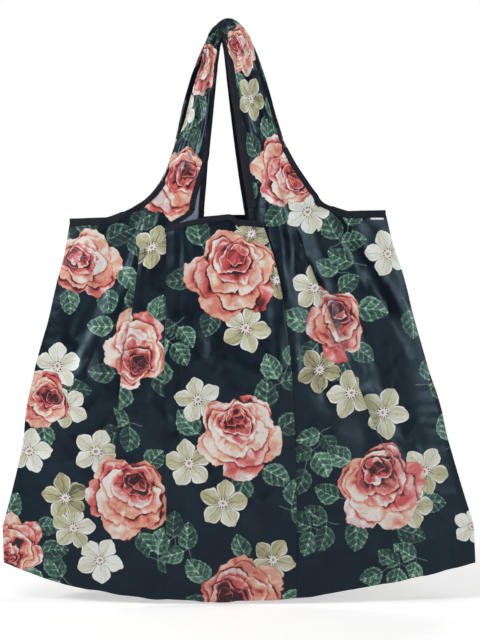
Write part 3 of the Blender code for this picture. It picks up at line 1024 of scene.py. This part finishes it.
def leaf_motifs(roses, blossoms, sprigs, generator):
    """Leaves that stand out from behind each rose, and pairs of leaves along each sprig."""
    leaves = []

    def crowded(x, z):
        near_rose = any(math.hypot(x - rx, z - rz) < radius + 9 for rx, rz, radius in roses)
        near_blossom = any(math.hypot(x - bx, z - bz) < 0.8 * radius for bx, bz, radius in blossoms)
        near_leaf = any(math.hypot(x - leaf[0], z - leaf[1]) < LEAF_ROOM for leaf in leaves)
        return near_rose or near_blossom or near_leaf

    for x, z, radius in roses:
        first = generator.uniform(0, 360)
        for step in range(LEAVES_ROUND_ROSE):
            angle = math.radians(first + 51 * step + generator.uniform(-10, 10))
            size = LEAF_HALF_LENGTH * generator.uniform(0.88, 1.18)
            reach = radius + size * 0.62
            leaf_x, leaf_z = x + reach * math.cos(angle), z + reach * math.sin(angle)
            if not crowded(leaf_x, leaf_z):
                turn = math.degrees(angle) + generator.uniform(-38, 38)
                leaves.append((leaf_x, leaf_z, size, turn, generator.uniform(0, 5)))
    for x, z, direction, pairs in sprigs:
        run = math.radians(direction)
        for pair in range(pairs + 1):
            for lean in (-52, 52) if pair < pairs else (0,):
                size = LEAF_HALF_LENGTH * generator.uniform(0.85, 1.1)
                angle = math.radians(direction + lean)
                stem = LEAF_PAIR_SPACING * pair
                leaf_x = x + stem * math.cos(run) + size * 1.2 * math.cos(angle)
                leaf_z = z + stem * math.sin(run) + size * 1.2 * math.sin(angle)
                if not crowded(leaf_x, leaf_z):
                    leaves.append((leaf_x, leaf_z, size, math.degrees(angle), generator.uniform(0, 5)))
    return leaves


def cloth_motifs(*areas, seed):
    """Every layer's motifs, for cloth that takes in these areas of the print."""
    generator = np.random.default_rng(seed)
    roses = [place for area in areas for place in ROSES[area]]
    blossoms = [place for area in areas for place in BLOSSOMS[area]]
    sprigs = [place for area in areas for place in SPRIGS[area]]
    leaves = leaf_motifs(roses, blossoms, sprigs, generator)
    return {
        "leaf_under": leaves[::2],
        "leaf_over": leaves[1::2],
        "blossom": [(*b, generator.uniform(0, 72), generator.uniform(0, 1)) for b in blossoms],
        "rose": [(*r, generator.uniform(0, 360), generator.uniform(0, 9)) for r in roses],
    }


MOTIFS = {
    "centre": cloth_motifs("centre", seed=3),
    LEFT: cloth_motifs("left", "left_strap", seed=5),
    RIGHT: cloth_motifs("right", "right_strap", seed=8),
}


# ---------------------------------------------------------------- centre cloth and side cloths


def fold_edges(z, face):
    """Where the centre panel folds back at its left and right, as distances from the middle."""
    if face == BACK:
        both = 77 - 18 * np.exp(-(MOUTH_Z - z) / 60)
        return both, both
    left = 88 - 16 * z / MOUTH_Z
    right = 66 + 5 * np.sin(math.pi * z / MOUTH_Z) - 27 * np.exp(-(MOUTH_Z - z) / 75)
    return left, right


def hem_z(x, face):
    """Height of the centre panel's top edge, which sags to its corners."""
    if face == BACK:
        return MOUTH_Z + 0.5 - 5 * (np.abs(x) / 60) ** 2.2
    left_sag = 12 * np.clip(-x / 72, 0, 1.3) ** 1.4
    right_sag = 6 * smooth((x - 3) / 10) + 4 * np.clip((x - 8) / 33, 0, 1.4)
    return MOUTH_Z - 1 - left_sag - right_sag


FOLD_RADIUS = 1.1
CENTRE_ROWS = 132
CENTRE_COLUMNS = 47
SIDE_ROWS = 134
SHOULDER_COLUMNS = 26
STRAP_ROWS = 96


def rows_up(count):
    """Shares up a panel, closer together near the bottom seam."""
    share = np.linspace(0, 1, count)
    return (0.35 * share**2 + 0.65 * share)[:, None]


def folded_side(side, edge, underlay):
    """Columns of (x, sink, x on the flat cloth), round a folded edge and back under the panel."""
    columns = []
    for angle in np.linspace(0, math.pi, 7)[1:-1]:
        sink = FOLD_RADIUS * (1 - math.cos(angle))
        columns.append((edge + FOLD_RADIUS * math.sin(angle), sink, edge + FOLD_RADIUS * angle))
    for under in np.linspace(0, 1, 7)[1:]:
        flat_x = edge + math.pi * FOLD_RADIUS + under * underlay
        columns.append((edge - under * underlay, 2 * FOLD_RADIUS, flat_x))
    return [(side * x, sink, side * flat_x) for x, sink, flat_x in columns]


def centre_sheet(face, seed):
    """The centre panel, folded back on itself at each side and run back under itself."""
    shares = rows_up(CENTRE_ROWS)
    left, right = fold_edges(shares * MOUTH_Z, face)
    underlay = 8 + 14 * shares
    columns = folded_side(LEFT, left, underlay)[::-1]
    for share in np.linspace(0, 1, CENTRE_COLUMNS):
        x = -left + share * (left + right)
        columns.append((x, 0.0, x))
    columns += folded_side(RIGHT, right, underlay)
    x = np.concatenate([column[0] for column in columns], axis=1)
    sink = np.array([column[1] for column in columns])[None]
    flat_x = np.concatenate([column[2] for column in columns], axis=1)
    low = bottom_z(x)
    z = low + shares * (hem_z(x, face) - low)
    pinch = 0.45 + 0.55 * smooth((z - low) / 55)
    edge_left, edge_right = fold_edges(z, face)
    pleat_lines = 1.1 * hump(x, edge_right - 15, 5) + 0.9 * hump(x, 16 - edge_left, 2.2)
    depth = panel_swell(x, z) + folds(x, z, seed) - sink * pinch + pleat_lines * smooth(shares * 6)
    return Sheet(together(x, face * clear_of_seam(depth), z), together(flat_x * -face, z), face)


# How far the foot of each strap's inner edge stands from the middle, at the split line. The front
# left one swings out, so that its tape runs down into the pleat in a curve.
INNER_FOOT = {(FRONT, LEFT): 39.0, (FRONT, RIGHT): 25.0, (BACK, LEFT): 29.0, (BACK, RIGHT): 20.5}
SWUNG_OUT = (FRONT, LEFT)


def side_inner_x(z, face, side):
    """Where the side cloth ends under the centre panel. At the mouth it meets the strap's edge."""
    left, right = fold_edges(z, face)
    below_mouth = MOUTH_Z + SPLIT_RISE - z
    if (face, side) == SWUNG_OUT:
        under = left - np.minimum(2 + 0.5 * np.maximum(below_mouth - 22, 0), 24)
        turn = smooth(below_mouth / 26)
    else:
        under = (left if side == LEFT else right) - np.minimum(6 + 0.5 * below_mouth, 24)
        turn = smooth(below_mouth / 60)
    return INNER_FOOT[face, side] * (1 - turn) + under * turn


# A tuck runs down from each strap's foot. Its place at the top, and how far out it goes per mm down.
TUCKS = {
    (FRONT, LEFT): (98, 0.155),
    (FRONT, RIGHT): (71, 0.35),
    (BACK, LEFT): (84, 0.25),
    (BACK, RIGHT): (92, 0.2),
}
TUCK_WIDTH = 11.0
TUCK_FLAT = 5.0
# Across the tuck: how far back under itself the cloth lies, and how deep, as shares of the whole.
TUCK_SECTION = (
    (0.0, 0.0),
    (-0.03, 0.3),
    (-0.5, 0.55),
    (-0.97, 0.6),
    (-1.0, 0.8),
    (-0.97, 1.0),
    (-0.5, 1.0),
    (0.0, 1.0),
)
TUCK_DEPTH = 3.2
TUCK_CREST = 3.0
INSIDE_COLUMNS = 18
OUTSIDE_COLUMNS = 14


def foot_columns(face, side):
    """Where each column of cloth crosses the split line, from the strap's inner to its outer edge."""
    tuck = TUCKS[face, side][0]
    inside = np.linspace(INNER_FOOT[face, side], tuck, INSIDE_COLUMNS + 1)
    across = np.linspace(tuck, tuck + TUCK_FLAT, len(TUCK_SECTION))[1:]
    outside = np.linspace(tuck + TUCK_FLAT, SPLIT_X, OUTSIDE_COLUMNS + 1)[1:]
    return np.concatenate((inside, across, outside))


STRAP_COLUMNS = INSIDE_COLUMNS + len(TUCK_SECTION) - 1 + OUTSIDE_COLUMNS


def side_plan(face, side, level, top_x):
    """Each column's distance from the middle as if untucked, the tuck's distance, and its width."""
    tuck_top, tuck_slope = TUCKS[face, side]
    tuck = tuck_top + tuck_slope * (MOUTH_Z + SPLIT_RISE - level)
    width = TUCK_WIDTH * smooth((MOUTH_Z - 15 - level) / 70) * smooth((level - 110) / 220)
    inner = side_inner_x(level, face, side)
    inside_x = inner + (top_x - top_x[0, 0]) / (tuck_top - top_x[0, 0]) * (tuck - inner)
    outer = side_x(np.minimum(level, MOUTH_Z))
    outside_share = (top_x - tuck_top - TUCK_FLAT) / (MOUTH_HALF - tuck_top - TUCK_FLAT)
    outside_x = tuck + TUCK_FLAT + outside_share * (outer - tuck - TUCK_FLAT)
    past_tuck = np.where(top_x <= tuck_top + TUCK_FLAT, tuck + (top_x - tuck_top), outside_x)
    return np.where(top_x <= tuck_top, inside_x, past_tuck), tuck, width


def side_sheet(face, side, seed):
    """From under the centre panel out to the side seam, up to the strap's foot and shoulder."""
    shoulder = np.linspace(SPLIT_X, MOUTH_HALF, SHOULDER_COLUMNS + 1)[1:]
    top_x = np.concatenate((foot_columns(face, side), shoulder))[None]
    shares = rows_up(SIDE_ROWS)
    plain, tuck, width = side_plan(face, side, shares * (MOUTH_Z + SPLIT_RISE), top_x)
    back, deep = np.zeros((2, *top_x.shape))
    section = slice(INSIDE_COLUMNS, INSIDE_COLUMNS + len(TUCK_SECTION))
    back[0, section], deep[0, section] = np.array(TUCK_SECTION).T
    deep[0, section.stop :] = 1
    x = side * (plain + back * width)
    low = bottom_z(x)
    z = low + shares * (shoulder_z(top_x) - low)
    from_tuck = np.abs(side * x - tuck)
    open_share = np.clip(width / 3, 0, 1)
    sink = TUCK_DEPTH * deep * open_share * np.exp(-from_tuck / 30)
    crest = TUCK_CREST * (1 - deep) * open_share * np.exp(-from_tuck / 10)
    depth = side_swell(x, z) + folds(x, z, seed) - sink + crest
    hidden = np.concatenate(([[0.0]], np.cumsum(np.abs(np.diff(back)), axis=1)), axis=1) * width
    flat_x = side * (plain + hidden - 2 * width)
    return Sheet(together(x, face * clear_of_seam(depth), z), together(flat_x * -face, z), face)


# ---------------------------------------------------------------- straps

# This much of a strap's outer edge rolls back behind it, from this height over the mouth up.
EDGE_ROLL = 9.0
ROLL_FROM = {LEFT: 38, RIGHT: 75}
ROLL_DEPTH = 2.6
# How far each strap's outer and inner edges stand out of the plain arch, half way up.
OUTER_SPREAD = {(FRONT, LEFT): -8.0, (FRONT, RIGHT): -6.5, (BACK, LEFT): 0.0, (BACK, RIGHT): 0.0}
INNER_SPREAD = {(FRONT, LEFT): 0.0, (FRONT, RIGHT): 0.0, (BACK, LEFT): 2.0, (BACK, RIGHT): -1.5}
# The gap between the straps: half its width at its foot, at most, and at its top, and its height.
GAP_FOOT = 29
GAP_TOP = 1.5
GAP_HEIGHT = 212
# How steeply a row's height follows its share up the strap, and a strap's depth at its foot.
ROW_POWER = 1.3
STRAP_DEPTH = 23.1


def strap_edges(face, side):
    """(inner x, inner height, outer x, outer height) of each row, as heights over the mouth."""
    first = (1 - (1 - SPLIT_RISE / HANDLE_RISE) ** 0.5) ** (1 / ROW_POWER)
    taper = 1 - np.linspace(first, 1, STRAP_ROWS + 1)[:, None] ** ROW_POWER
    outer_h = HANDLE_RISE * (1 - taper**2)
    rise = outer_h / HANDLE_RISE
    flare = (SPLIT_X - ARCH_HALF * taper[0]) * np.exp(-(outer_h - SPLIT_RISE) / 17)
    upper = smooth((outer_h - 65) / 50) * smooth((HANDLE_RISE - 20 - outer_h) / 40)
    outer_x = ARCH_HALF * taper + flare + OUTER_SPREAD[face, side] * upper
    outer_x = outer_x + side * (5 * smooth((outer_h - 6) / 60) + 4 * smooth((outer_h - 120) / 117))
    if side == RIGHT:
        outer_x = outer_x + 11 * smooth((outer_h - SPLIT_RISE) / 16) * hump(outer_h, 30, 28)
    inner_h = outer_h * (1 - 0.11 * rise**2)
    gap_foot = min(INNER_FOOT[face, side], GAP_FOOT)
    inner_x = GAP_TOP + (gap_foot - GAP_TOP) * np.maximum(1 - inner_h / GAP_HEIGHT, 0)
    inner_x = inner_x * (1 - rise**24)
    foot_run = 65 if (face, side) == SWUNG_OUT else 40
    inner_x = inner_x + (INNER_FOOT[face, side] - inner_x[0]) * (1 - smooth((inner_h - 8) / foot_run))
    inner_x = inner_x + INNER_SPREAD[face, side] * np.sin(math.pi * np.clip(rise, 0, 1) ** 0.9)
    return inner_x, inner_h, outer_x, outer_h


def strap_pleats(reach, x, h, side, seed):
    """How far a strap's bunched cloth stands out: pleats that wander along it, and crumples."""
    run = np.linspace(0, 1, len(h))[:, None]
    wander = 0.22 * waves(run * 5.0, 0.0, seed + side) + 0.12 * waves(run * 13.0, 0.0, seed + 5)
    wide = np.sin(math.tau * (2.1 * reach + wander + 0.12 * side))
    narrow = 0.4 * np.sin(math.tau * (4.3 * reach - 2 * wander + 0.3))
    edges = -1.1 * np.abs(2 * reach - 1) ** 5
    bunch = 0.5 + 3.1 * smooth((h - 10) / 120)
    z = MOUTH_Z + h
    crumple = ridges(x / 19, z / 33, seed + 31) * 0.7 + ridges(x / 10, z / 15, seed + 33) * 0.35
    return bunch * ((wide + narrow) * 0.62 + edges) + crumple


def strap_sheet(face, side, seed):
    """A strap, from the split line to the crown. Its rows cross from the inner to the outer edge."""
    inner_x, inner_h, outer_x, outer_h = strap_edges(face, side)
    width = outer_x - inner_x
    foot = foot_columns(face, side)
    at_foot = ((foot - foot[0]) / (foot[-1] - foot[0]))[None]
    even = np.linspace(0, 1, STRAP_COLUMNS + 1)[None]
    share = at_foot + (even - at_foot) * smooth((outer_h - SPLIT_RISE) / 60)
    rolled = EDGE_ROLL * smooth((outer_h - ROLL_FROM[side]) / 35)
    rolled_share = np.clip(rolled / np.hypot(width, outer_h - inner_h), 0, 0.6)
    spread = share * (1 + rolled_share)
    reach = 1 - np.sqrt((1 - spread) ** 2 + 0.0004) + 0.0002
    h = inner_h + reach * (outer_h - inner_h)
    z = MOUTH_Z + h
    x = side * (inner_x + reach * width)
    top_depth = STRAP_DEPTH + (CROWN_Y + 1.5 - STRAP_DEPTH) * (h / HANDLE_RISE) ** 1.2
    lean = smooth((h - 12) / 40)
    depth = (1 - lean) * side_swell(x, z) + lean * top_depth
    fade = smooth((h - SPLIT_RISE) / 50)
    top_fade = 1 - 0.35 * smooth((h - 200) / 30)
    pleats = strap_pleats(reach, x, h, side, seed)
    depth = depth + folds(x, z, seed) * (1 - 0.75 * fade) + pleats * fade * top_fade
    behind = np.maximum(spread - 1, 0) / np.maximum(rolled_share, 0.01)
    depth = np.maximum(depth - ROLL_DEPTH * smooth(behind * 2.5), 1.2)
    squeeze = 1 + 0.75 * smooth((h - 10) / 120)
    centre_x = (inner_x + outer_x) / 2
    flat_x = side * (centre_x + (inner_x + spread * width - centre_x) * squeeze)
    return Sheet(together(x, face * depth, z), together(flat_x * -face, z), face)


# ---------------------------------------------------------------- assembly of the cloth


WING_BEND = 20


def across_wing(piece, side):
    """Bakes a piece's transform into its points. The span where the wing folds in over the front is worked
    out but not used.
    """
    middle, reach = side * WING_X * MM, side * WING_BEND * MM
    start, end = (middle - reach, 0, 0), (middle + reach, 0, 0)
    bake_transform(piece)


def up_handle(piece):
    """Bakes a piece's transform into its points, for a piece of the handle that folds down at the strap's
    foot.
    """
    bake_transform(piece)


FACE_SEED = {FRONT: 2.0, BACK: 40.0}
# The mouth tape leaves out this many columns under each folded edge. The pleat tape is this long.
UNDERLAY_COLUMNS = 10
PLEAT_TAPE_ROWS = 14


def build_side(face, side, seed):
    """One side cloth, its strap, and their tapes."""
    stem = f"{FACE_NAMES[face]}_{SIDE_NAMES[side]}"
    motifs = MOTIFS[side * -face]
    sheet = side_sheet(face, side, seed)
    cloth = printed_piece(f"{stem}_side_cloth", sheet, motifs)
    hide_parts(f"{stem}_side_panel", f"{stem}_wing_panel")
    across_wing(cloth, side)
    lines, normals = sheet.lines_from("top")
    from_mitre = np.abs(lines[:, 0, 0]) - SPLIT_X + MITRE
    kept = from_mitre > 0
    widths = SHOULDER_TAPE * np.clip(from_mitre[kept] / MITRE, 0.05, 1)
    tape = bound_edge(f"{stem}_shoulder_tape", lines[kept], normals[kept], widths, seed)
    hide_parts(f"{stem}_shoulder_binding", f"{stem}_wing_binding")
    across_wing(tape, side)
    lines, normals = sheet.lines_from("first column")
    tape = bound_edge(f"{stem}_pleat_tape", lines[-PLEAT_TAPE_ROWS:], normals[-PLEAT_TAPE_ROWS:], seed=seed)
    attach(tape, "body")
    strap = strap_sheet(face, side, seed)
    cloth = printed_piece(f"{stem}_strap_cloth", strap, motifs)
    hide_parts(f"{stem}_strap")
    up_handle(cloth)
    for name, edge in (("inner", "first column"), ("outer", "last column")):
        width = WIDE_TAPE if (face, side, name) == (FRONT, RIGHT, "inner") else TAPE_WIDTH
        tape = bound_edge(f"{stem}_{name}_tape", *strap.lines_from(edge), width, seed + side)
        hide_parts(f"{stem}_{name}_binding")
        up_handle(tape)


def build_face(face):
    seed = FACE_SEED[face]
    name = FACE_NAMES[face]
    sheet = centre_sheet(face, seed)
    cloth = printed_piece(f"{name}_centre_cloth", sheet, MOTIFS["centre"])
    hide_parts(f"{name}_centre_panel", f"{name}_left_pleat", f"{name}_right_pleat")
    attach(cloth, "body")
    lines, normals = sheet.lines_from("top")
    shown = slice(UNDERLAY_COLUMNS, -UNDERLAY_COLUMNS)
    tape = bound_edge(f"{name}_mouth_tape", lines[shown], normals[shown], seed=seed)
    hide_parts(f"{name}_mouth_binding")
    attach(tape, "body")
    for side in (LEFT, RIGHT):
        build_side(face, side, seed)


build_face(FRONT)
build_face(BACK)

# ---------------------------------------------------------------- crown, label and pouch


def closed_piece(name, rings, material):
    """A closed tube through rings[ring, corner], without stitches."""
    middles = rings.mean(axis=1)
    along = lengths_along(middles)[:, None]
    around = np.linalg.norm(rings - middles[:, None], axis=2) * 3
    return sewn_tube(name, rings, together(along, around, 0.0), material)


# Shares along the crown's seam where its path bends.
CROWN_SHARES = (0, 0.3, 0.65, 1)


def build_crown(face):
    """The bunched cloth and tape over the seam where a handle's two straps meet."""
    name = FACE_NAMES[face]
    along = np.linspace(0, 1, 33)
    path_x = np.interp(along, CROWN_SHARES, (-16, -8, 1, 7))
    path_z = CROWN_Z - np.interp(along, CROWN_SHARES, (23, 15.5, 11.5, 12.5))
    run = unit(np.gradient(together(path_x, path_z), axis=0))
    along, path_x, path_z = along[:, None], path_x[:, None], path_z[:, None]
    end = np.sqrt(np.maximum(1 - np.abs(2 * along - 1) ** 4, 0.03))
    turn = np.linspace(0, math.tau, 49)[None, :-1]
    bunch = 1 + 0.10 * np.sin(5 * turn + 4 * along) + 0.16 * waves(turn * 1.9, along * 3.1, 51 + face)
    wide = (1.9 + 2.3 * smooth(along / 0.6)) * end * bunch * np.cos(turn)
    thick = 2.6 * end * bunch * np.sin(turn)
    x, z = path_x - run[:, 1:] * wide, path_z + run[:, :1] * wide
    rings = together(x, face * (CROWN_Y + 2.4 + thick), z)
    crown = closed_piece(f"{name}_crown_seam", rings, TAPE)
    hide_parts(f"{name}_handle_join")
    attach(crown, f"{name}_handle")


# The label's outline as (distance down, distance out).
LABEL_OUTLINE = (
    (0.0, 0.0),
    (0.25, 0.3),
    (1.2, 0.42),
    (2.2, 0.3),
    (2.5, 0.0),
    (2.2, -0.25),
    (1.2, -0.3),
    (0.25, -0.25),
)


def build_label():
    """A blank woven label, folded and sewn in under the right shoulder's tape."""
    left, right = low_corner("care_label").x, high_corner("care_label").x
    share = np.linspace(0, 1, 13)
    x = left + (right - left) * share + 1.5
    z = MOUTH_Z - SHOULDER_TAPE + 0.4 - 0.3 * share
    depth = side_swell(x, z) + folds(x, z, FACE_SEED[FRONT]) + 0.45
    drop, out = np.array(LABEL_OUTLINE).T
    rings = together(x[:, None], -(depth[:, None] + out), z[:, None] - drop)
    label = closed_piece("blank_care_label", rings, LABEL)
    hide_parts("care_label")
    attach(label, "right_wing")


def pocket_sheet(x, y, z, facing):
    """A sheet inside the bag, printed like the rest. facing is the Y side that its outside faces."""
    return Sheet(together(x, y, z), together(x * -facing + 8, z - 120), facing)


# A flat tape's outline as (place across it as a share of its width, height).
FLAT_OUTLINE = (
    (-0.5, 0.0),
    (-0.47, 0.35),
    (0.0, 0.42),
    (0.47, 0.35),
    (0.5, 0.0),
    (0.47, -0.35),
    (-0.47, -0.35),
)


def tape_line(name, points, normal, width):
    """A flat tape along a line of points."""
    side = unit(np.cross(np.gradient(points, axis=0), normal))
    rings = np.stack([points + side * across * width + normal * up for across, up in FLAT_OUTLINE], axis=1)
    return closed_piece(name, rings, TAPE)


def build_pouch():
    """The pocket that the folded bag tucks into, hung inside the back, with its flap."""
    low, high = low_corner("storage_pouch"), high_corner("storage_pouch")
    half = (high.x - low.x) / 2 - 1
    front_y = (high_corner("snap_stud").y + low_corner("snap_post").y) / 2
    back_y = high.y - 0.9
    middle_y = (front_y + back_y) / 2
    z_low, z_front = low.z + 1.5, high_corner("snap_stud").z + 16
    across = np.linspace(-1, 1, 45)[None]
    up = np.linspace(0, 1, 46)[:, None]
    edge = (1 - np.abs(across) ** 6) * (1 - (1 - up) ** 6)
    rumple = 0.35 * ridges(across * 2.6, up * 3.4, 61) + 0.2 * waves(across * 7, up * 7, 62)
    stud_flat = smooth((np.hypot(across * half, (1 - up) * 115 - 16) - 7) / 8)
    front_depth = (front_y - middle_y + rumple * stud_flat) * edge
    back_depth = 0.5 + (back_y - middle_y - 0.5 + rumple * 0.7) * edge
    front = pocket_sheet(across * half, middle_y + front_depth, z_low + up * (z_front - z_low), FRONT)
    back = pocket_sheet(across * half, middle_y + back_depth, z_low + up * (high.z - z_low), BACK)
    pieces = [printed_piece("pouch_front_wall", front, MOTIFS["centre"])]
    pieces.append(printed_piece("pouch_back_wall", back, MOTIFS["centre"]))
    for name, sheet in (("pouch_mouth_tape", front), ("pouch_back_tape", back)):
        pieces.append(bound_edge(name, *sheet.lines_from("top"), 5.0, seed=63))
    for side in (LEFT, RIGHT):
        z = np.linspace(z_low, z_front - 1, 60)
        line = together(side * (half + 0.4), middle_y, z)
        pieces.append(tape_line(f"pouch_{SIDE_NAMES[side]}_edge", line, np.array((side, 0.0, 0.0)), 3.4))
    for piece in pieces:
        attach(piece, "body")
    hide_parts("storage_pouch")
    build_hanger(back_y)
    build_flap()


def build_hanger(back_y):
    """The short tape from the pouch's back to the back mouth tape."""
    low, high = low_corner("pouch_hanger_tape"), high_corner("pouch_hanger_tape")
    share = np.linspace(0, 1, 24)
    y = back_y + 0.9 + share * (high.y - 0.9 - back_y) + np.sin(math.pi * share) * 0.8
    line = together(0.0, y, low.z + share * (high.z - 1 - low.z))
    hanger = tape_line("pouch_hanger", line, np.array((0.0, 1.0, 0.0)), high.x - low.x)
    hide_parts("pouch_hanger_tape")
    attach(hanger, "body")


def build_flap():
    """The flap, over the pouch's mouth and down to the press stud, with a rounded tip."""
    low, high = low_corner("pouch_flap"), high_corner("pouch_flap")
    front_y = (high_corner("snap_cap").y + low_corner("snap_socket").y) / 2
    top_z = high.z - 0.6
    bends = ((high.y - 0.5, top_z), (front_y + 2.6, top_z - 10.2), (front_y, top_z - 14.5), (front_y, low.z))
    path = np.array(bends)
    lengths = lengths_along(path)
    share = np.linspace(0, 1, 40)
    line = read_along(share * lengths[-1], lengths, path)
    for _ in range(3):
        line[1:-1] = (line[:-2] + line[2:] + 2 * line[1:-1]) / 4
    y, z, share = line[:, :1], line[:, 1:], share[:, None]
    across = np.linspace(-1, 1, 45)[None]
    half = (high.x - low.x) / 2 - 0.6
    tip = 1 - 0.16 * smooth((share - 0.72) / 0.28) ** 2
    lift = 1.6 * np.abs(across) ** 4 * share**2
    sheet = pocket_sheet(across * half * tip, y - 0.1 * lift, z + lift, FRONT)
    flap = printed_piece("pouch_flap_cloth", sheet, MOTIFS["centre"])
    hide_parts("pouch_flap")
    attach(flap, "pouch_flap")
    for name, edge in (("pouch_flap_left_tape", "first column"), ("pouch_flap_right_tape", "last column")):
        lines, normals = sheet.lines_from(edge)
        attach(bound_edge(name, lines[1:], normals[1:], 4.0, seed=64), "pouch_flap")


def finish_press_stud():
    """The four moulded parts keep their shape and get rounded edges and a plastic finish."""
    for name in ("snap_cap", "snap_socket", "snap_stud", "snap_post"):
        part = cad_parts[name]
        part.data.materials.clear()
        part.data.materials.append(PLASTIC)
        rounding = part.modifiers.new("Rounded edges", "BEVEL")
        rounding.width = 0.12 * MM
        rounding.segments = 2
        rounding.limit_method = "ANGLE"
        rounding.angle_limit = math.radians(40)


build_crown(FRONT)
build_crown(BACK)
build_label()
build_pouch()
finish_press_stud()

SEAM_WIDTH = 7.0
# A flat-felled seam's outline as (share of its width inwards, share of its thickness).
SEAM_OUTLINE = (
    (0.04, 1.0),
    (0.5, 1.15),
    (0.96, 1.0),
    (1.0, 0.0),
    (0.96, -1.0),
    (0.5, -1.15),
    (0.04, -1.0),
    (0.0, 0.0),
)
SEAM_HALF_THICKNESS = 0.34


def seam_strip(name, edge, inward, half_thickness):
    """A seam between the front and back cloth, along edge points, with a row of stitches."""
    into, out = np.array(SEAM_OUTLINE).T
    points = edge[:, None] + np.multiply.outer(into * SEAM_WIDTH, inward)
    points[..., 1] += out * half_thickness[:, None]
    places = together(lengths_along(edge)[:, None], into * SEAM_WIDTH, 0.0)
    rows = []
    for facing in (-1.0, 1.0):
        up = np.tile((0.0, facing, 0.0), (len(edge), 1))
        line = edge + inward * 0.72 * SEAM_WIDTH + up * (half_thickness[:, None] * 1.1)
        rows.append((line, up))
    return sewn_tube(name, points, places, TAPE, rows)


def build_seams():
    for side in (LEFT, RIGHT):
        name = SIDE_NAMES[side]
        z = np.linspace(CORNER_RISE + SEAM_WIDTH + 2, MOUTH_Z - 3, 90)
        edge = together(side * (side_x(z) - 0.7), 0.0, z)
        inward = np.array((-side, 0, 0))
        seam = seam_strip(f"{name}_side_felled_seam", edge, inward, 0 * z + SEAM_HALF_THICKNESS)
        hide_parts(f"{name}_side_seam")
        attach(seam, f"{name}_wing")
        x = side * np.linspace(0, BOTTOM_HALF - 1.5, 110)
        edge = together(x, 0.0, bottom_z(x) + 0.7)
        thick = SEAM_HALF_THICKNESS + 0.7 * (1 - smooth((np.abs(x) - 40) / 12))
        seam = seam_strip(f"{name}_bottom_felled_seam", edge, np.array((0, 0, 1)), thick)
        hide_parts(f"{name}_bottom_seam", "centre_bottom_seam")
        across_wing(seam, side)


build_seams()


# ---------------------------------------------------------------- floor, light and camera

BAG_MIDDLE = (0, 0, 0.35)


def seen_by_camera(tree):
    path = tree.nodes.new("ShaderNodeLightPath")
    return Wire(tree, path.outputs["Is Camera Ray"])


def floor_material():
    """Pale near the bag, and as white as the surround further off, so that no horizon shows."""
    material, tree, shader = new_material("pale_floor")
    geometry = tree.nodes.new("ShaderNodeNewGeometry")
    x, y, _ = split_vector(Wire(tree, geometry.outputs["Position"]))
    seen = seen_by_camera(tree)
    away = step_up((x * x + y * y) ** 0.5, 0.25, 0.9) * seen
    colour = blend_colours(away, linear(240, 240, 240), linear(0, 0, 0))
    glow = {"Emission Color": (1, 1, 1, 1), "Emission Strength": away * 0.65 + seen * 0.35}
    plug_all(tree, shader, {"Base Color": colour, "Roughness": 0.95, "Specular IOR Level": 0.0, **glow})
    return material


def make_floor():
    """A plain pale floor, wide enough to reach the horizon."""
    half = 30.0
    mesh = bpy.data.meshes.new("studio_floor")
    corners = [(-half, -half, 0), (half, -half, 0), (half, half, 0), (-half, half, 0)]
    mesh.from_pydata(corners, [], [(0, 1, 2, 3)])
    mesh.materials.append(floor_material())
    floor = add_object("studio_floor", mesh)
    floor.location.z = -0.002


def aim(thing, place, target):
    """Puts a lamp or the camera at a place, looking at the target."""
    thing.location = place
    thing.rotation_euler = (Vector(target) - Vector(place)).to_track_quat("-Z", "Y").to_euler()


def area_light(name, place, size, power):
    """A rectangular lamp that faces the bag."""
    light = bpy.data.lights.new(name, "AREA")
    light.shape = "RECTANGLE"
    light.size, light.size_y = size
    light.energy = power
    aim(add_object(name, light), place, BAG_MIDDLE)


def make_world(strength):
    """An even white surround: white to the camera, and dimmer as a light on the bag."""
    world = bpy.data.worlds.new("studio")
    world.use_nodes = True
    tree = world.node_tree
    seen_strength = blend_values(seen_by_camera(tree), strength, 1.0)
    plug_all(tree, tree.nodes["Background"], {"Color": (1, 1, 1, 1), "Strength": seen_strength})
    bpy.context.scene.world = world


def make_camera():
    """Square on to the front, 1.8 m away, a little above the bag's middle."""
    camera_data = bpy.data.cameras.new("camera")
    camera_data.lens = 85
    camera_data.sensor_width = 36
    camera = add_object("camera", camera_data)
    target = Vector((0.0108, 0.0, 0.341))
    distance, elevation = 1.813, math.radians(1.5)
    offset = distance * Vector((0, -math.cos(elevation), math.sin(elevation)))
    aim(camera, target + offset, target)
    bpy.context.scene.camera = camera


make_floor()
make_world(0.08)
area_light("key", (-1.9, -1.3, 1.4), (0.5, 0.5), 33)
area_light("front_left", (-0.7, -2.0, 2.1), (0.8, 0.5), 12)
area_light("sheen_right", (1.35, -1.85, 0.75), (0.9, 0.9), 14)
area_light("top", (0.2, -0.4, 2.2), (0.8, 0.6), 9)
area_light("back", (0.8, 2.2, 1.4), (1.4, 1.4), 30)
make_camera()
bpy.context.scene.view_settings.view_transform = "Standard"

bpy.context.view_layer.update()
